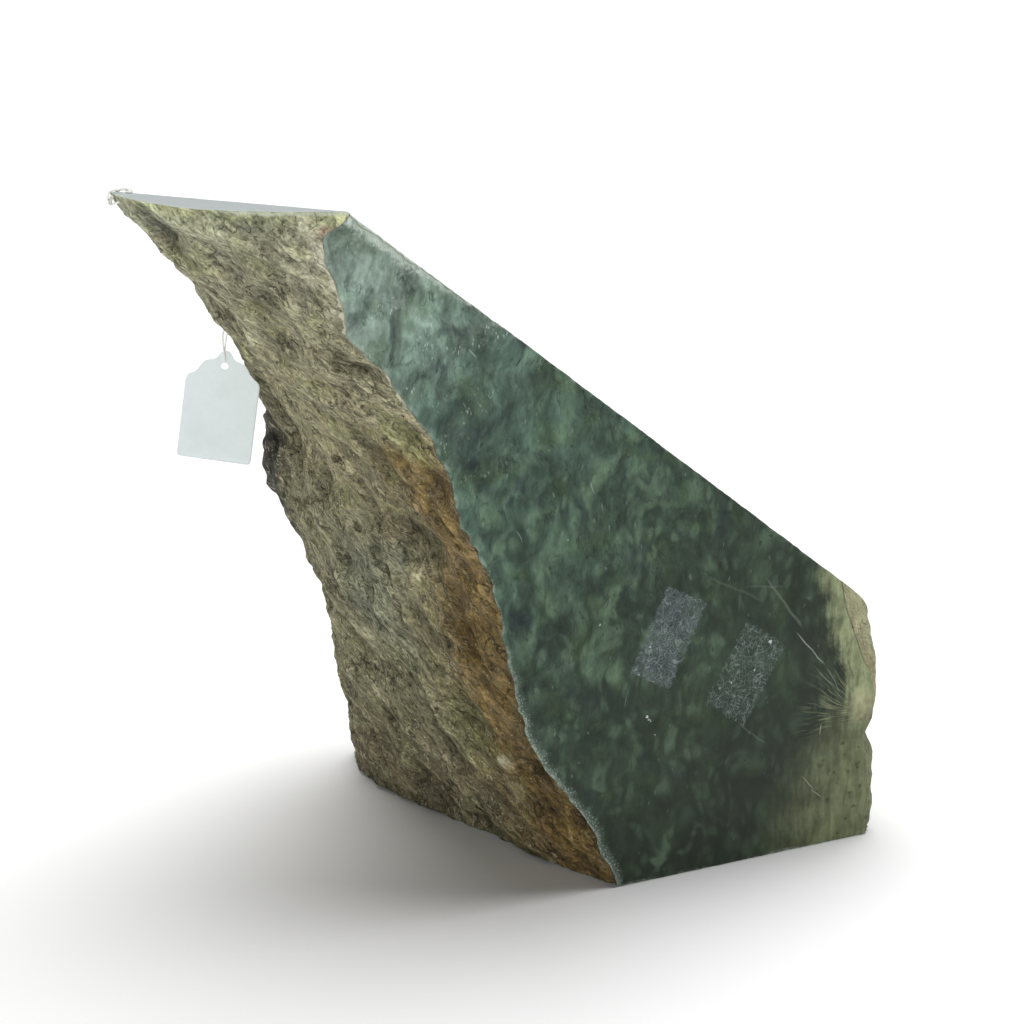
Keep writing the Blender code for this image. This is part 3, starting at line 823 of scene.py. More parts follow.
def coarseRelief(points):
    # The CAD solid's lumps, splinters and pits.
    spaced = points / lumps["size"]
    out = lumps["height"] * (noise(spaced, lumps["seed"]) + 0.5 * noise(spaced * 2.1, lumps["seed"] + 1))
    dip = math.radians(splinters["dip"])
    along = points @ np.array([0.0, math.cos(dip), math.sin(dip)])
    across = points @ np.array([0.0, -math.sin(dip), math.cos(dip)])
    spaced = np.stack([points[..., 0], along / splinters["stretch"], across], axis=-1) / splinters["size"]
    out = out + splinters["height"] * noise(spaced, splinters["seed"])
    for pit in pits:
        away = np.linalg.norm(points - pit["at"], axis=-1) / pit["radius"]
        out = out - pit["depth"] * np.exp(-(away**2))
    return out


def fineRelief(points):
    # Each layer bends its own space first, then has flat faces and narrow creases. Every layer is centred, so that
    # the surface stays where the solid has it.
    side = unit(np.cross(splinterRun, [0.0, 0.0, 1.0]))
    other = np.cross(splinterRun, side)
    out = 0.0
    for size, stretch, rise, seed in fineSplinters:
        bend = np.stack([noise(points / (2.2 * size) + 7.7 * i, seed + 5 + i) for i in range(3)], axis=-1)
        moved = points + 0.9 * size * bend
        spaced = np.stack([moved @ splinterRun / stretch, moved @ side, moved @ other], axis=-1) / size
        out = out + rise * (0.75 - 2.6 * np.abs(noise(spaced, seed)))
    for at, radius, rise in knobs:
        out = out + rise * np.exp(-((np.linalg.norm(points - at, axis=-1) / radius) ** 2))
    return out


def slopeNormal():
    # The direction square to the sloping cut, out of the stone, from three points on it.
    normal = np.cross(slopeEnd - ridgeTop, hornTip - ridgeTop)
    return normal / np.linalg.norm(normal)


def hump(value, middle, width):
    # A bell curve: 1 at the middle, and nearly 0 two widths from it.
    return np.exp(-(((value - middle) / width) ** 2))


def makeRindGrid():
    # The rind over its whole height in even rows, with all its relief: points, and figures for each of them.
    around, first = [], 0.0
    for last, count in gridColumns:
        around.append(np.linspace(first, last, count, endpoint=False))
        first = last
    around = np.concatenate(around + [[1.0]])
    zed = np.linspace(0.0, height, gridRows)
    curve = planCurve(zed, around)
    along = np.gradient(curve, axis=1)
    outward = unit(np.stack([-along[..., 1], along[..., 0]], axis=-1))
    steps = np.linalg.norm(np.diff(curve, axis=1), axis=-1)
    walk = np.concatenate([np.zeros((len(zed), 1)), np.cumsum(steps, axis=1)], axis=1)
    fromEnd = walk[:, -1:] - walk
    zed = np.broadcast_to(zed[:, None], walk.shape)
    points = np.concatenate([curve, zed[..., None]], axis=-1)
    nearEnd = np.minimum(walk, fromEnd)
    # The relief is calmer right by the cuts, so that their rims stay whole, and at the right end.
    over = np.maximum((points - ridgeTop) @ slopeNormal(), zed - height)
    quiet = 0.3 + 0.7 * smooth(-over, 0.0, 8.0)
    low = 0.35 + 0.65 * smooth(zed, 0.0, 7.0)
    atRight = smooth(70.0 - fromEnd, 0.0, 40.0)
    fine = fineRelief(points) * np.clip(nearEnd / 4.0, 0, 1) * low * (1 - 0.6 * atRight)
    rise = (coarseRelief(points) * np.clip(nearEnd / edgeFade, 0, 1) * low + fine) * quiet
    # The horn's left edge is fuller just under the tip and hollower below it.
    byEdge = smooth(over, -30.0, -4.0) * smooth(zed, 236.0, 246.0)
    rise = rise + byEdge * (2.0 * hump(zed, 290.0, 6.0) - 2.4 * hump(zed, 262.0, 13.0))
    # The ridge is jagged, in two sizes.
    zero = 0 * zed
    jag = 0.9 * noise(np.stack([zed / 3.1, zero, zero + 5.0], axis=-1), 31)
    jag = jag + 1.3 * noise(np.stack([zed / 9.0, zero, zero + 9.0], axis=-1), 32)
    points[..., :2] += outward * rise[..., None]
    points[..., 0] += jag * np.exp(-walk / 5.0) * smooth(zed, 2.0, 8.0) * smooth(height - zed, 1.0, 6.0)
    # The right end's outline: worn round under the sloping cut, and a notch low down.
    rounded = 3.6 * smooth(over, -24.0, -1.0) * smooth(zed, 60.0, 84.0)
    notch = 4.5 * hump(zed, 46.0, 7.0)
    points[..., 0] -= (rounded + notch) * atRight * smooth(fromEnd, 0.0, 6.0)
    points[..., 1] = np.where(nearEnd > 1e-6, np.maximum(points[..., 1], 0.35), 0.0)
    # The fine relief is also kept for the painted light and shade on the rind's relief.
    return points, {"fromRidge": walk, "fromEnd": fromEnd, "cavity": fine}


def bisected(points, quads, figures):
    # The rind grid below the sloping cut: its points, corner list, each face's first corner and count, and figures.
    sheet = bpy.data.meshes.new("sheet")
    sheet.vertices.add(len(points))
    sheet.vertices.foreach_set("co", points.ravel())
    sheet.loops.add(quads.size)
    sheet.loops.foreach_set("vertex_index", quads.ravel())
    sheet.polygons.add(len(quads))
    sheet.polygons.foreach_set("loop_start", np.arange(0, quads.size, 4))
    for key, values in figures.items():
        sheet.attributes.new(key, "FLOAT", "POINT").data.foreach_set("value", values.ravel())
    sheet.update(calc_edges=True)
    work = bmesh.new()
    work.from_mesh(sheet)
    bmesh.ops.bisect_plane(
        work, geom=work.verts[:] + work.edges[:] + work.faces[:], dist=0.02,
        plane_co=ridgeTop, plane_no=slopeNormal(), clear_outer=True,
    )
    work.to_mesh(sheet)
    work.free()

    def read(items, key, kind=int, each=1):
        values = np.empty(len(items) * each, kind)
        items.foreach_get(key, values)
        return values

    where = read(sheet.vertices, "co", float, 3).reshape(-1, 3)
    loops = read(sheet.loops, "vertex_index")
    starts, sizes = read(sheet.polygons, "loop_start"), read(sheet.polygons, "loop_total")
    found = {key: read(sheet.attributes[key].data, "value", float) for key in figures}
    bpy.data.meshes.remove(sheet)
    return where, loops, starts, sizes, found


def outlinesOf(faces, count):
    # The sheet's outline and its holes, shortest first: edges used in one direction only run round them.
    used = np.concatenate([np.stack([f, np.roll(f, -1, axis=1)], axis=-1).reshape(-1, 2) for f in faces])
    single = used[~np.isin(used @ [count, 1], used @ [1, count])]
    follow = {int(a): int(b) for a, b in single}
    outlines = []
    while follow:
        first, now = next(iter(follow.items()))
        del follow[first]
        line = [first]
        while now != first and now in follow:
            line.append(now)
            now = follow.pop(now)
        outlines.append(np.array(line))
    return sorted(outlines, key=len)


def cutRind():
    # The cut rind: its points, faces by corner count, figures, the edge in five runs, and the small holes.
    points, figures = makeRindGrid()
    rows, columns = points.shape[:2]
    index = np.arange(rows * columns).reshape(rows, columns)
    quads = np.stack([index[:-1, :-1], index[:-1, 1:], index[1:, 1:], index[1:, :-1]], axis=-1).reshape(-1, 4)
    where, loops, starts, sizes, found = bisected(points.reshape(-1, 3), quads, figures)
    # Stray bits that the cut leaves by themselves are dropped: each point takes its neighbours' lowest number.
    after = np.arange(len(loops)) + 1
    after[starts + sizes - 1] = starts
    ends = np.stack([loops, loops[after]], axis=-1)
    group, before = np.arange(len(where)), None
    while before is None or (group != before).any():
        before = group.copy()
        np.minimum.at(group, ends[:, 0], before[ends[:, 1]])
        np.minimum.at(group, ends[:, 1], before[ends[:, 0]])
        group = group[group]
    keep = group[loops[starts]] == np.bincount(group).argmax()
    faces = [loops[starts[keep & (sizes == n)][:, None] + np.arange(n)] for n in np.unique(sizes[keep])]
    outlines = outlinesOf(faces, len(where))
    rim = outlines.pop()
    # The five corners of the outline are where these figures are smallest, and the runs lie between them.
    over = (where - ridgeTop) @ slopeNormal()
    zed, walk, fromEnd = where[:, 2], found["fromRidge"], found["fromEnd"]
    tops = zed - height
    misses = (
        (zed, walk), (zed, fromEnd), (over, fromEnd), (over, tops, np.minimum(walk, 60.0) - 60.0), (tops, walk),
    )
    spots = [int(np.argmin(sum(np.abs(miss[rim]) for miss in pair))) for pair in misses]
    closed = np.append(np.roll(rim, -spots[0]), rim[spots[0]])
    spots = [(at - spots[0]) % len(rim) for at in spots] + [len(rim)]
    runs = [closed[spots[i]: spots[i + 1] + 1] for i in range(5)]
    print("rind cut:", len(where), "points,", len(outlines), "small holes, runs", [len(run) for run in runs])
    return where, faces, found, runs, outlines


def linePoints(start, end, spacing):
    # Points along a straight edge, without its two ends.
    count = max(int(np.linalg.norm(end - start) / spacing), 1)
    return start + (end - start) * (np.arange(1, count) / count)[:, None]


def nearestOf(points, others):
    # Each point's nearest other one, and how far it is.
    parts = [np.linalg.norm(part[:, None] - others[None], axis=-1) for part in np.array_split(points, 30)]
    return np.concatenate([part.argmin(axis=1) for part in parts]), np.concatenate([part.min(axis=1) for part in parts])


def capMesh(flat, inset, spacing):
    # Triangles over a flat cut: its edge loop, rows just inside the edge, and a coarse grid in the middle.
    after = np.roll(flat, -1, axis=0)
    ahead = after - np.roll(flat, 1, axis=0)
    area = np.sum(flat[:, 0] * after[:, 1] - after[:, 0] * flat[:, 1])
    side = unit(np.stack([-ahead[:, 1], ahead[:, 0]], axis=-1)) * (1 if area > 0 else -1)
    rows = []
    for depth in inset:
        row = flat + side * depth
        row = row[nearestOf(row, flat)[1] > 0.9 * depth]
        keep = [0]
        for i in range(1, len(row)):
            if np.linalg.norm(row[i] - row[keep[-1]]) > 0.45 * depth + 0.5:
                keep.append(i)
        rows.append(row[keep])
    low, high = flat.min(axis=0), flat.max(axis=0)
    ticks = (np.arange(low[i], high[i], spacing) for i in range(2))
    grid = np.stack(np.meshgrid(*ticks), axis=-1).reshape(-1, 2)
    grid[:, 0] += (np.arange(len(grid)) % 2) * spacing * 0.3
    # A grid point is inside where a line to its right crosses the edge an odd number of times.
    inside = np.zeros(len(grid), bool)
    for a, b in zip(flat, after):
        crosses = (a[1] > grid[:, 1]) != (b[1] > grid[:, 1])
        with np.errstate(divide="ignore", invalid="ignore"):
            inside ^= crosses & (grid[:, 0] < (b[0] - a[0]) * (grid[:, 1] - a[1]) / (b[1] - a[1]) + a[0])
    grid = grid[inside & (nearestOf(grid, flat)[1] > inset[-1] + 0.5 * spacing)]
    edges = [(i, (i + 1) % len(flat)) for i in range(len(flat))]
    points = [Vector(p) for p in np.concatenate([flat] + rows + [grid])]
    found = delaunay_2d_cdt(points, edges, [list(range(len(flat)))], 1, 1e-4)
    return np.array([tuple(v) for v in found[0]]), found[2], found[3]


# How far the edges are worn back, in millimetres: ridge, base, right end, rim of the top, and the slope's rim,
# which is chipped widely at its left end.
wear = {
    "ridge": 0.9, "base": 4.5, "baseFront": 0.9, "rightEnd": 0.6, "topRim": 0.8,
    "slopeLeft": 5.2, "slope": 0.7, "slopeRind": 0.9,
}
# The stone stays inside this box, just within the solid's.
stoneBox = ((-184.9, 0.0, 0.0), (149.9, 229.1, height))
# Each flat cut: its material's number, how far in its rows lie and how wide its middle grid is.
cuts = {
    "polished": {"look": 1, "rows": (0.7, 1.7, 3.2, 5.0), "grid": 4.0},
    "top": {"look": 2, "rows": (0.8, 2.0), "grid": 3.5},
    "slope": {"look": 3, "rows": (0.7, 1.7, 3.2, 5.0), "grid": 5.0},
    "base": {"look": 3, "rows": (0.8, 2.0), "grid": 9.0},
}
farAway, offTheRind = 60.0, 400.0


def sunk(worn, away):
    # How deep a surface sinks at this distance from an edge worn by k: (k - d)^2 / 4k.
    return np.maximum(worn - away, 0) ** 2 / (4 * worn)


def makeStone():
    # The cut rind and four flat cuts as one closed surface, with its edges worn.
    grid, sheets, figures, runs, holes = cutRind()
    baseRun, rightRun, slopeRun, topRun, ridgeRun = runs
    grid = np.clip(grid, *stoneBox)
    walk = figures["fromRidge"]
    tip, ridgeEnd, rightTop = slopeRun[-1], ridgeRun[0], slopeRun[0]
    lines = (
        linePoints(grid[tip], grid[ridgeEnd], 1.6),
        linePoints(grid[ridgeEnd], grid[rightTop], 1.0),
        linePoints(grid[baseRun[-1]], grid[baseRun[0]], 1.6),
    )
    marks = np.cumsum([len(grid)] + [len(line) for line in lines])
    topLine, diagonal, baseLine = (np.arange(marks[i], marks[i + 1]) for i in range(3))
    base = np.concatenate([grid, *lines])

    # How far each edge point is worn: a different figure for each edge, with chips.
    share = np.linalg.norm(base[diagonal] - ridgeTop, axis=1) / np.linalg.norm(grid[rightTop] - ridgeTop)
    slopeWear = wear["slope"] + (wear["slopeLeft"] - wear["slope"]) * (1 - smooth(share, 0.08, 0.36))
    worn = np.zeros(len(base))
    for where, depth in (
        (slopeRun, wear["slopeRind"]), (topRun, wear["topRim"]), (baseRun, wear["base"]),
        (rightRun, wear["rightEnd"]), (ridgeRun, wear["ridge"]), (baseLine, wear["baseFront"]),
        (topLine, wear["topRim"] * 0.4), (diagonal, slopeWear),
    ):
        worn[where] = depth
    worn *= 0.65 + 0.9 * np.abs(noise(base / 4.0, 41)) + 0.9 * np.maximum(noise(base / 11.0, 42), 0)
    worn[ridgeEnd] = wear["slopeLeft"]

    # Each rind point's normal, from the faces round it.
    outward = np.zeros_like(grid)
    for sheet in sheets:
        cross = np.cross(grid[sheet[:, 1]] - grid[sheet[:, 0]], grid[sheet[:, 2]] - grid[sheet[:, 0]])
        for i in range(sheet.shape[1]):
            np.add.at(outward, sheet[:, i], cross)
    outward = unit(outward)
    normals = np.zeros_like(base)
    rindEdge = np.unique(np.concatenate(runs))
    normals[rindEdge] += outward[rindEdge]
    # Small holes that the cut leaves in the rind are closed by fans round one corner.
    fans = [np.stack([np.full(len(hole) - 2, hole[0]), hole[2:], hole[1:-1]], axis=-1) for hole in holes]
    faces = sheets + fans
    slots = [np.zeros(len(sheet), int) for sheet in sheets] + [np.full(len(fan), cuts["slope"]["look"]) for fan in fans]
    moved, wornShare, rimAway = [base], [np.zeros(len(base))], [np.full(len(base), farAway)]
    rimAway[0][ridgeRun] = 0.0
    count = len(base)
    # Each cut: origin, direction across, normal and edge.
    for name, origin, across, normal, loop in (
        ("polished", (0, 0, 0), (1, 0, 0), (0, -1, 0), (ridgeRun[::-1], diagonal, rightRun[::-1], baseLine)),
        ("top", (0, 0, height), (1, 0, 0), (0, 0, 1), (topRun[::-1], topLine)),
        ("slope", ridgeTop, slopeEnd - ridgeTop, slopeNormal(),
         (slopeRun[::-1], diagonal[::-1], ridgeRun[:1], topLine[::-1])),
        ("base", (0, 0, 0), (1, 0, 0), (0, 0, -1), (baseRun, baseLine)),
    ):
        loop, across, normal = np.concatenate(loop), unit(np.array(across, float)), np.array(normal, float)
        axes = np.stack([across, np.cross(normal, across)])
        normals[loop] += normal
        flat, triangles, origins = capMesh((base[loop] - origin) @ axes.T, cuts[name]["rows"], cuts[name]["grid"])
        where = origin + flat @ axes
        ids = np.array([loop[min(source)] if source and min(source) < len(loop) else -1 for source in origins])
        fresh = np.nonzero(ids < 0)[0]
        ids[fresh] = count + np.arange(len(fresh))
        count += len(fresh)
        nearest, away = nearestOf(where[fresh], base[loop])
        edgeWear = np.maximum(worn[loop][nearest], 0.05)
        moved.append(where[fresh] - sunk(edgeWear, away)[:, None] * normal)
        strength = np.clip(edgeWear / 3.0, 0, 1) if name == "polished" else 0.25
        wornShare.append(smooth(edgeWear * 0.95 - away, 0.0, 0.6 * edgeWear) * strength)
        rimAway.append(np.where((name == "polished") & (nearest < len(ridgeRun)), away, farAway))
        corners = np.array([corner for corner in triangles if len(corner) == 3])
        a, b, c = (where[corners[:, i]] for i in range(3))
        flip = (np.cross(b - a, c - a) @ normal) < 0
        corners[flip] = corners[flip][:, ::-1]
        faces.append(ids[corners])
        slots.append(np.full(len(corners), cuts[name]["look"]))

    # Edge points sink along both their surfaces, and the rind near an edge sinks as the cuts do.
    size = np.linalg.norm(normals, axis=1)
    sharp = size > 0.1
    both = np.zeros_like(base)
    both[sharp] = normals[sharp] / np.maximum(size[sharp, None] ** 2 / 2, 0.4)
    points = np.concatenate(moved)
    points[: len(base)] -= worn[:, None] / 4 * both
    share = np.concatenate(wornShare)
    share[: len(base)][sharp] = np.clip(worn[sharp] / 3.0, 0, 1)
    up = ridgeRun[::-1]
    ridgeWear = np.maximum(np.interp(grid[:, 2], grid[up, 2], worn[up]), 0.05)
    lowWear = wear["base"] * (0.8 + 0.4 * noise(grid / 9.0, 44))
    near = np.where(walk > 1e-6, sunk(ridgeWear, walk), 0.0)
    near += np.where(grid[:, 2] > 1e-6, sunk(lowWear, grid[:, 2]), 0.0)
    points[: len(grid)] -= near[:, None] * outward
    byRidge = 0.8 * smooth(ridgeWear * 0.9 - walk, 0.0, 0.6 * ridgeWear)
    share[: len(grid)] = np.maximum(share[: len(grid)], byRidge)
    points = np.clip(points, *stoneBox)
    attributes = {"worn": share, "rim": np.concatenate(rimAway)}
    for key, values in figures.items():
        attributes[key] = np.full(len(points), 0.0 if key == "cavity" else offTheRind)
        attributes[key][: len(grid)] = values
    materials = [makeRind(), makePolished(), makeSawn("sawn_top"), makeSawn("sawn_slope")]
    stone = addMesh("jade_stone", points, faces, materials, np.concatenate(slots), attributes)
    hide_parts("jade_boulder")
    return stone


# The string's route, as in the part's source.
stringClear = 0.85
stringPoints = 80
stringLook = Vector((-0.62, -0.34, 0.71)).normalized()
stringRoute = (
    (-161, 103.1, 282.1), (-150, 108.5, 271.4), (-138, 113, 260.4), (-127, 117.5, 250.2),
    (-119.5, 124.5, 241.5), (-115, 131, 235.2), (-113.2, 135.2, 232), (-113.5, 137.6, 230.6),
    (-114.3, 138.9, 229.2), (-114.4, 139.4, 226.5), (-114.2, 139.2, 221), (-113.9, 138.5, 217.1),
    (-113.1, 140, 215.9), (-112.3, 141.6, 217.1), (-112, 141.3, 221), (-111.6, 140.6, 226),
    (-111.4, 139.6, 228.4), (-111, 137, 229.6), (-112.6, 130, 233.9), (-117.5, 122.5, 240.8),
    (-125.5, 115, 250.1), (-137, 110.3, 260.9), (-149, 105.8, 271.9), (-159.5, 100.9, 281.9),
    (-168, 95.8, 290.6), (-174, 93, 296.3), (-177.8, 91.2, 300.8), (-179.3, 90.7, 301.2),
    (-181.5, 90.9, 301.1), (-184.2, 92, 301), (-185.6, 93.3, 299.8), (-185.6, 94.6, 297.5),
    (-184, 98, 296.3), (-181.6, 101.8, 296.4), (-178.8, 102, 296), (-175.5, 102.9, 293.1),
    (-170.5, 103.6, 289), (-165.5, 103.9, 285.1), (-162.5, 103.8, 282.9),
)


def heldClear(tree, point, clear):
    # The point, moved straight out of the stone where it is inside it or nearer than this.
    surface, normal, _, away = tree.find_nearest(point)
    seen, facing, _, _ = tree.ray_cast(point, stringLook)
    inside = seen is not None and facing.dot(stringLook) > 0
    if away > clear and not inside:
        return point
    out = surface - point if inside else point - surface
    return surface + (out if away > 1e-6 else normal).normalized() * clear


def stoneTree():
    return BVHTree.FromObject(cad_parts["jade_boulder"], bpy.context.evaluated_depsgraph_get())


def stringLine():
    # The route through its points, with each stretch of string held clear of the stone.
    route = np.array(stringRoute, float)
    walked = np.concatenate([[0.0], np.cumsum(np.linalg.norm(np.diff(route, axis=0), axis=1) ** 0.5)])
    line = through(walked, route, np.linspace(0.0, walked[-1], stringPoints))
    tree = stoneTree()
    points = [heldClear(tree, Vector(point), stringClear / 1000) for point in placed(line)]
    for _ in range(12):
        for i in range(1, len(points)):
            middle = (points[i - 1] + points[i]) / 2
            shift = heldClear(tree, middle, stringClear / 1000) - middle
            points[i - 1] = points[i - 1] + shift
            points[i] = points[i] + shift
    return np.array(points) * 1000 - corner


# The twisted cotton: two plies of this radius, their middles this far from the string's middle line.
yarn = {"ply": 0.24, "offset": 0.17, "twist": 1.9, "along": 1100, "around": 18}


def tubeFrames(line):
    # A steady sideways direction at each point of a line, carried along without twisting.
    along = unit(np.gradient(line, axis=0))
    side = np.zeros_like(along)
    side[0] = unit(np.cross(along[0], [0.3, 0.5, 0.8]))
    for i in range(1, len(line)):
        side[i] = unit(side[i - 1] - along[i] * (side[i - 1] @ along[i]))
    return side, np.cross(along, side)


def tube(line, side, other, radius, around):
    # Rings of this radius round the line's points, from each point's two sideways directions.
    angle = np.linspace(0, 2 * np.pi, around, endpoint=False)
    ring = np.cos(angle)[None, :, None] * side[:, None] + np.sin(angle)[None, :, None] * other[:, None]
    return (line[:, None] + radius * ring).reshape(-1, 3)


def tubeFaces(rows, around, closed=False):
    # Quads between neighbouring rings, and from the last to the first where it's closed.
    index = np.arange(rows * around).reshape(rows, around)
    if closed:
        index = np.concatenate([index, index[:1]])
    after = np.roll(index, -1, axis=1)
    return np.stack([index[:-1], index[1:], after[1:], after[:-1]], axis=-1).reshape(-1, 4)


# The part of the string that hangs: its heights, the middle between its strands, the way across them, how far each
# ends from the middle and how far it moves at most.
hangs = {"low": 216.0, "high": 231.5, "middle": (-112.9, 139.2), "across": (0.75, 0.66), "apart": 0.45, "most": 0.95}


def pinched(path):
    # The hanging part's two strands each moved towards the middle between them.
    tall = smooth(path[:, 2], hangs["low"], hangs["low"] + 3.0) * smooth(hangs["high"] - path[:, 2], 0.0, 3.0)
    hanging = tall * (path[:, 0] > hangs["middle"][0] - 3.6)
    across = unit(np.array(hangs["across"]))
    off = (path[:, :2] - hangs["middle"]) @ across
    shift = np.clip(off - np.sign(off) * hangs["apart"], -hangs["most"], hangs["most"]) * hanging
    moved = path.copy()
    moved[:, :2] -= shift[:, None] * across
    return moved


def walkOf(line):
    # How far along the line each of its points is.
    return np.concatenate([[0.0], np.cumsum(np.linalg.norm(np.diff(line, axis=0), axis=1))])


def makeString():
    # The twisted string: its outline turns once round in each twist's length.
    path = stringLine()
    walked = walkOf(path)
    at = np.linspace(0, walked[-1], yarn["along"])
    line = through(walked, pinched(path), at)
    side, other = tubeFrames(line)
    angle = np.linspace(0, 2 * np.pi, yarn["around"], endpoint=False)
    turn = at / yarn["twist"] * 2 * np.pi
    # Two round plies side by side: the outline's radius is the farther ply's edge along each angle.
    bend = angle[None] - turn[:, None]
    reach = yarn["offset"] * np.abs(np.cos(bend)) + np.sqrt(yarn["ply"] ** 2 - (yarn["offset"] * np.sin(bend)) ** 2)
    reach = reach * (1 + 0.05 * noise(np.stack([at[:, None] / 0.5 + 0 * bend, bend, 0 * bend], axis=-1), 51))
    points = tube(line, side, other, reach[..., None], yarn["around"])
    string = addMesh("cotton_string", points, [tubeFaces(len(at), yarn["around"])], [makeCotton()])
    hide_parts("ticket_string")
    return string, path


# A doubled turn of the same string round the stone's tip, as a closed ring of places, with its strands this far apart.
tipTurn = {
    "gap": 0.8, "radius": 0.4, "clear": 0.45, "highest": 301.1,
    "ring": (
        (-177.6, 89.6, 300.9), (-178.6, 87.6, 299.6), (-180.3, 90.4, 297.4), (-181.6, 94.2, 295.6),
        (-182.6, 97.6, 294.4), (-182.2, 99.6, 295.4), (-181.0, 98.6, 298.4), (-179.2, 94.6, 300.9),
    ),
}


def makeTipTurn():
    # Two rings beside each other, each held clear of the stone.
    tree = stoneTree()
    ring = np.array(tipTurn["ring"] + tipTurn["ring"][:1], float)
    at = np.linspace(0, len(ring) - 1, 120)
    points, faces = [], tubeFaces(len(at), 12)
    for side in (-0.5, 0.5):
        shift = side * tipTurn["gap"] * unit(np.array([0.75, -0.6, 0.25]))
        line = through(np.arange(len(ring)), ring, at) + shift
        for _ in range(4):
            held = [heldClear(tree, Vector(point), tipTurn["clear"] / 1000) for point in placed(line)]
            line = np.array(held) * 1000 - corner
            line[-1] = line[0]
            line[1:-1] = (line[:-2] + 2 * line[1:-1] + line[2:]) / 4
        line[:, 2] = np.minimum(line[:, 2], tipTurn["highest"])
        points.append(tube(line, *tubeFrames(line), tipTurn["radius"], 12))
    faces = np.concatenate([faces, faces + len(points[0])])
    turn = addMesh("string_turn", np.concatenate(points), [faces], [bpy.data.materials["cotton"]])
    return turn


def makeCotton():
    # White cotton with faint darker fibres.
    made, shader = newMaterial("cotton", 0.2, 0.9)
    colour = blend(noiseAt(placeMm(), 1.2, 3.0), tone(214, 214, 208), tone(246, 246, 240))
    feed(shader.inputs["Base Color"], colour)
    return made


print("stone and string described")

# The card round its string hole, and its left edge from the head down: two scooped steps to each shoulder.
card = {
    "thick": 0.32, "hole": 1.55, "holeDrop": 0.9, "at": (-113.1, 140.0, 214.7), "turn": -31.0, "lean": 8.0,
    "edge": (
        (0.0, 6.0), (-1.6, 5.5), (-2.7, 4.1), (-3.7, 2.4), (-5.2, 1.6), (-7.2, 1.2), (-8.9, 0.3), (-10.2, -1.3),
        (-11.4, -3.6), (-12.6, -5.0), (-14.2, -5.7), (-15.5, -6.8), (-16.0, -8.6), (-16.0, -41.5),
        (-15.6, -42.4), (-14.8, -42.7),
    ),
}


def cardOutline(count):
    # The ticket's edge, all round, at even steps from the head down its left side.
    left = np.array(card["edge"], float)
    edge = np.concatenate([left, left[::-1] * [-1, 1]])
    walked = walkOf(edge)
    keep = np.concatenate([[True], np.diff(walked) > 0])
    at = np.linspace(0, walked[-1], count, endpoint=False)
    return np.stack([np.interp(at, walked[keep], edge[keep, 0]), np.interp(at, walked[keep], edge[keep, 1])], axis=-1)


def cardPlace(flat, out):
    # Points of the card (right, up), this far out of its front.
    turn, lean = math.radians(card["turn"]), math.radians(card["lean"])
    right = np.array([math.cos(turn), math.sin(turn), 0.0])
    front = np.array([math.sin(turn), -math.cos(turn), 0.0])
    up = math.cos(lean) * np.array([0.0, 0.0, 1.0]) + math.sin(lean) * right
    across = math.cos(lean) * right - math.sin(lean) * np.array([0.0, 0.0, 1.0])
    out = np.asarray(out, float)
    return np.array(card["at"]) + flat[..., :1] * across + flat[..., 1:2] * up + out[..., None] * front


def makeCard():
    # Rings from the hole to the edge, in front and behind, joined round the edge.
    count, rings = 300, 26
    outer = cardOutline(count)
    for _ in range(2):
        outer = 0.25 * np.roll(outer, 1, axis=0) + 0.5 * outer + 0.25 * np.roll(outer, -1, axis=0)
    middle = np.array([0.0, -card["holeDrop"]])
    angles = np.arctan2(outer[:, 1] - middle[1], outer[:, 0])
    inner = middle + card["hole"] * np.stack([np.cos(angles), np.sin(angles)], axis=-1)
    t = np.linspace(0, 1, rings)[:, None, None] ** 1.3
    flat = inner * (1 - t) + outer * t
    bow = 0.5 * noise(np.stack([flat[..., 0] / 22, flat[..., 1] / 26, 0 * flat[..., 0]], axis=-1), 61)
    front, back = (cardPlace(flat, bow + side * card["thick"] / 2) for side in (1, -1))
    points = np.concatenate([front, back[::-1]]).reshape(-1, 3)
    faces = tubeFaces(2 * rings, count, closed=True)[:, ::-1]
    made = addMesh("ticket_card", points, [faces], [makeCardLook()])
    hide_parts("paper_ticket")
    return made


def makeCardLook():
    # Pale bluish card with fine fibres and faint clouds.
    made, shader = newMaterial("card", 0.2, 0.85)
    fibre = noiseAt(placeMm(), 2.5, 4.0, 0.6)
    colour = blend(fibre, tone(216, 226, 226), tone(226, 234, 234))
    clouds = step(noiseAt(placeMm(), 14.0, 3.0), 0.5, 0.75)
    feed(shader.inputs["Base Color"], blend(clouds * 0.5, colour, tone(214, 222, 222)))
    bumped(shader, fibre, 0.3, 0.05)
    return made


# The knot: its curve's scale, its flatness, the string's radius in it, and its middle's height over the cut.
knotSize = {"scale": 0.42, "flat": 0.9, "radius": 0.42, "over": 1.05}


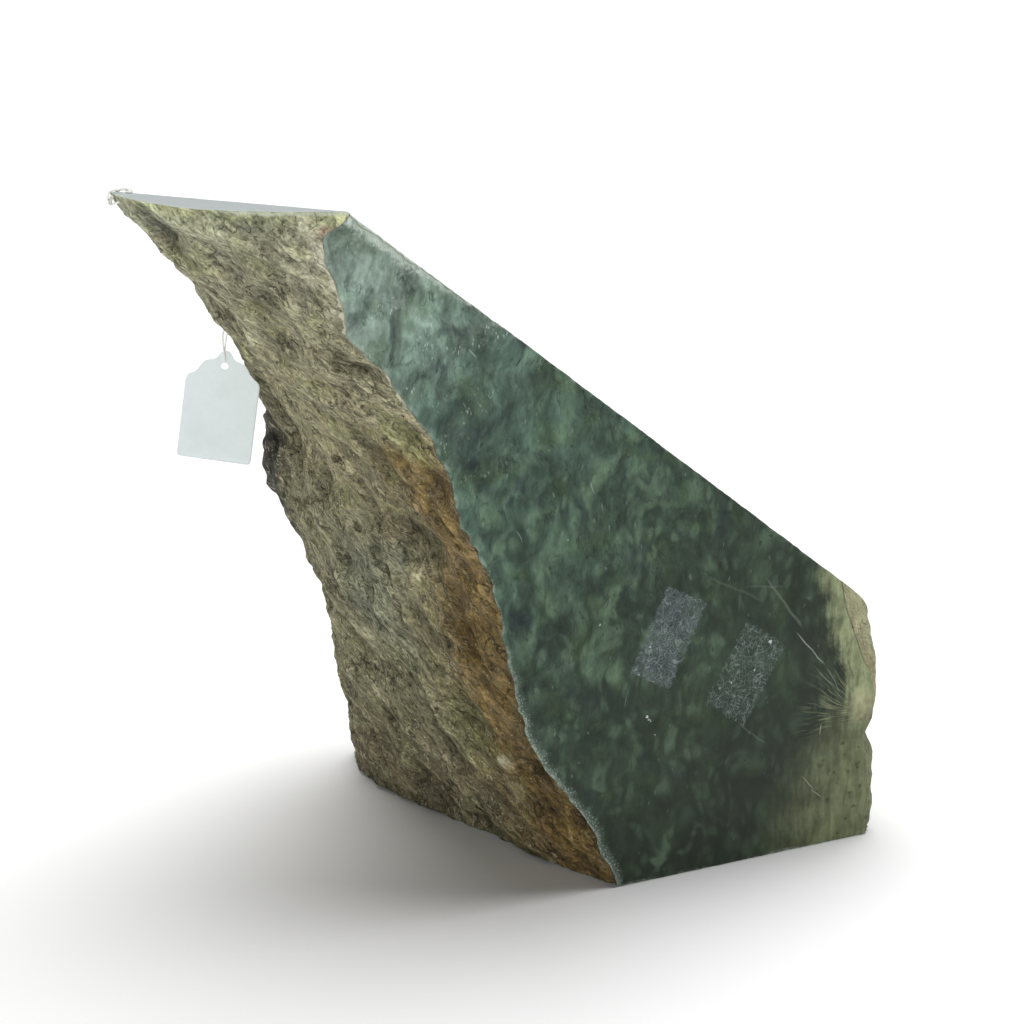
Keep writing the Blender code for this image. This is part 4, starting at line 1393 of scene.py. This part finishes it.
def makeKnot(path):
    # A small overhand knot where the string's two ends meet: a closed trefoil of the string's thickness.
    t = np.linspace(0, 2 * np.pi, 160, endpoint=False)
    trefoil = np.stack([np.sin(t) + 2 * np.sin(2 * t), np.cos(t) - 2 * np.cos(2 * t), -np.sin(3 * t)], axis=-1)
    line = trefoil * knotSize["scale"] * np.array([1.0, 1.0, knotSize["flat"]])
    along = unit(np.roll(line, -1, axis=0) - np.roll(line, 1, axis=0))
    side = unit(np.cross(along, unit(line + [0, 0, 0.3])))
    local = tube(line, side, np.cross(along, side), knotSize["radius"], 12)
    # It lies flat on the sloping cut, just clear of it, along the string's first run.
    normal = slopeNormal()
    middle = (path[0] + path[-1]) / 2
    middle = middle + normal * (knotSize["over"] - (middle - ridgeTop) @ normal)
    run = unit(path[2] - path[0])
    run = unit(run - normal * (run @ normal))
    points = middle + local @ np.stack([run, np.cross(normal, run), normal])
    knot = addMesh("string_knot", points, [tubeFaces(len(line), 12, closed=True)], [bpy.data.materials["cotton"]])
    return knot


string, stringPath = makeString()
knot = makeKnot(stringPath)
tipPiece = makeTipTurn()
cardPiece = makeCard()
stone = makeStone()
print("stone made,", sum(len(p.vertices) - 2 for p in stone.data.polygons), "triangles")

# Light: a pale room, a wide soft sun from above and behind, and a weaker one from the left and in front.
roomWhite = 0.13
lights = (
    {"name": "key", "from": (0.23, 0.25, 1.0), "strength": 3.45, "spread": 66},
    {"name": "front", "from": (-0.75, -1.0, 0.1), "strength": 1.6, "spread": 25},
)


def makeLights():
    # One sun for each entry, and the room's own even light.
    for light in lights:
        data = bpy.data.lights.new(light["name"], "SUN")
        data.angle = math.radians(light["spread"])
        data.energy = light["strength"]
        made = bpy.data.objects.new(light["name"], data)
        made.rotation_euler = Vector(light["from"]).to_track_quat("Z", "Y").to_euler()
        bpy.context.scene.collection.objects.link(made)
    world = bpy.data.worlds.new("room")
    world.use_nodes = True
    back = world.node_tree.nodes["Background"]
    back.inputs["Color"].default_value = (1.0, 1.0, 1.0, 1.0)
    back.inputs["Strength"].default_value = roomWhite
    bpy.context.scene.world = world


def makeFloor():
    # A wide white square under the stone.
    made, shader = newMaterial("floor_white", 0.0, 1.0)
    feed(shader.inputs["Base Color"], (0.95, 0.95, 0.95))
    half = 12.0
    mesh = bpy.data.meshes.new("floor")
    mesh.from_pydata([(-half, -half, 0), (half, -half, 0), (half, half, 0), (-half, half, 0)], [], [(0, 1, 2, 3)])
    mesh.materials.append(made)
    floor = bpy.data.objects.new("floor", mesh)
    bpy.context.scene.collection.objects.link(floor)


makeLights()
makeFloor()
bpy.context.scene.view_settings.view_transform = "Standard"
print("lights and floor made")
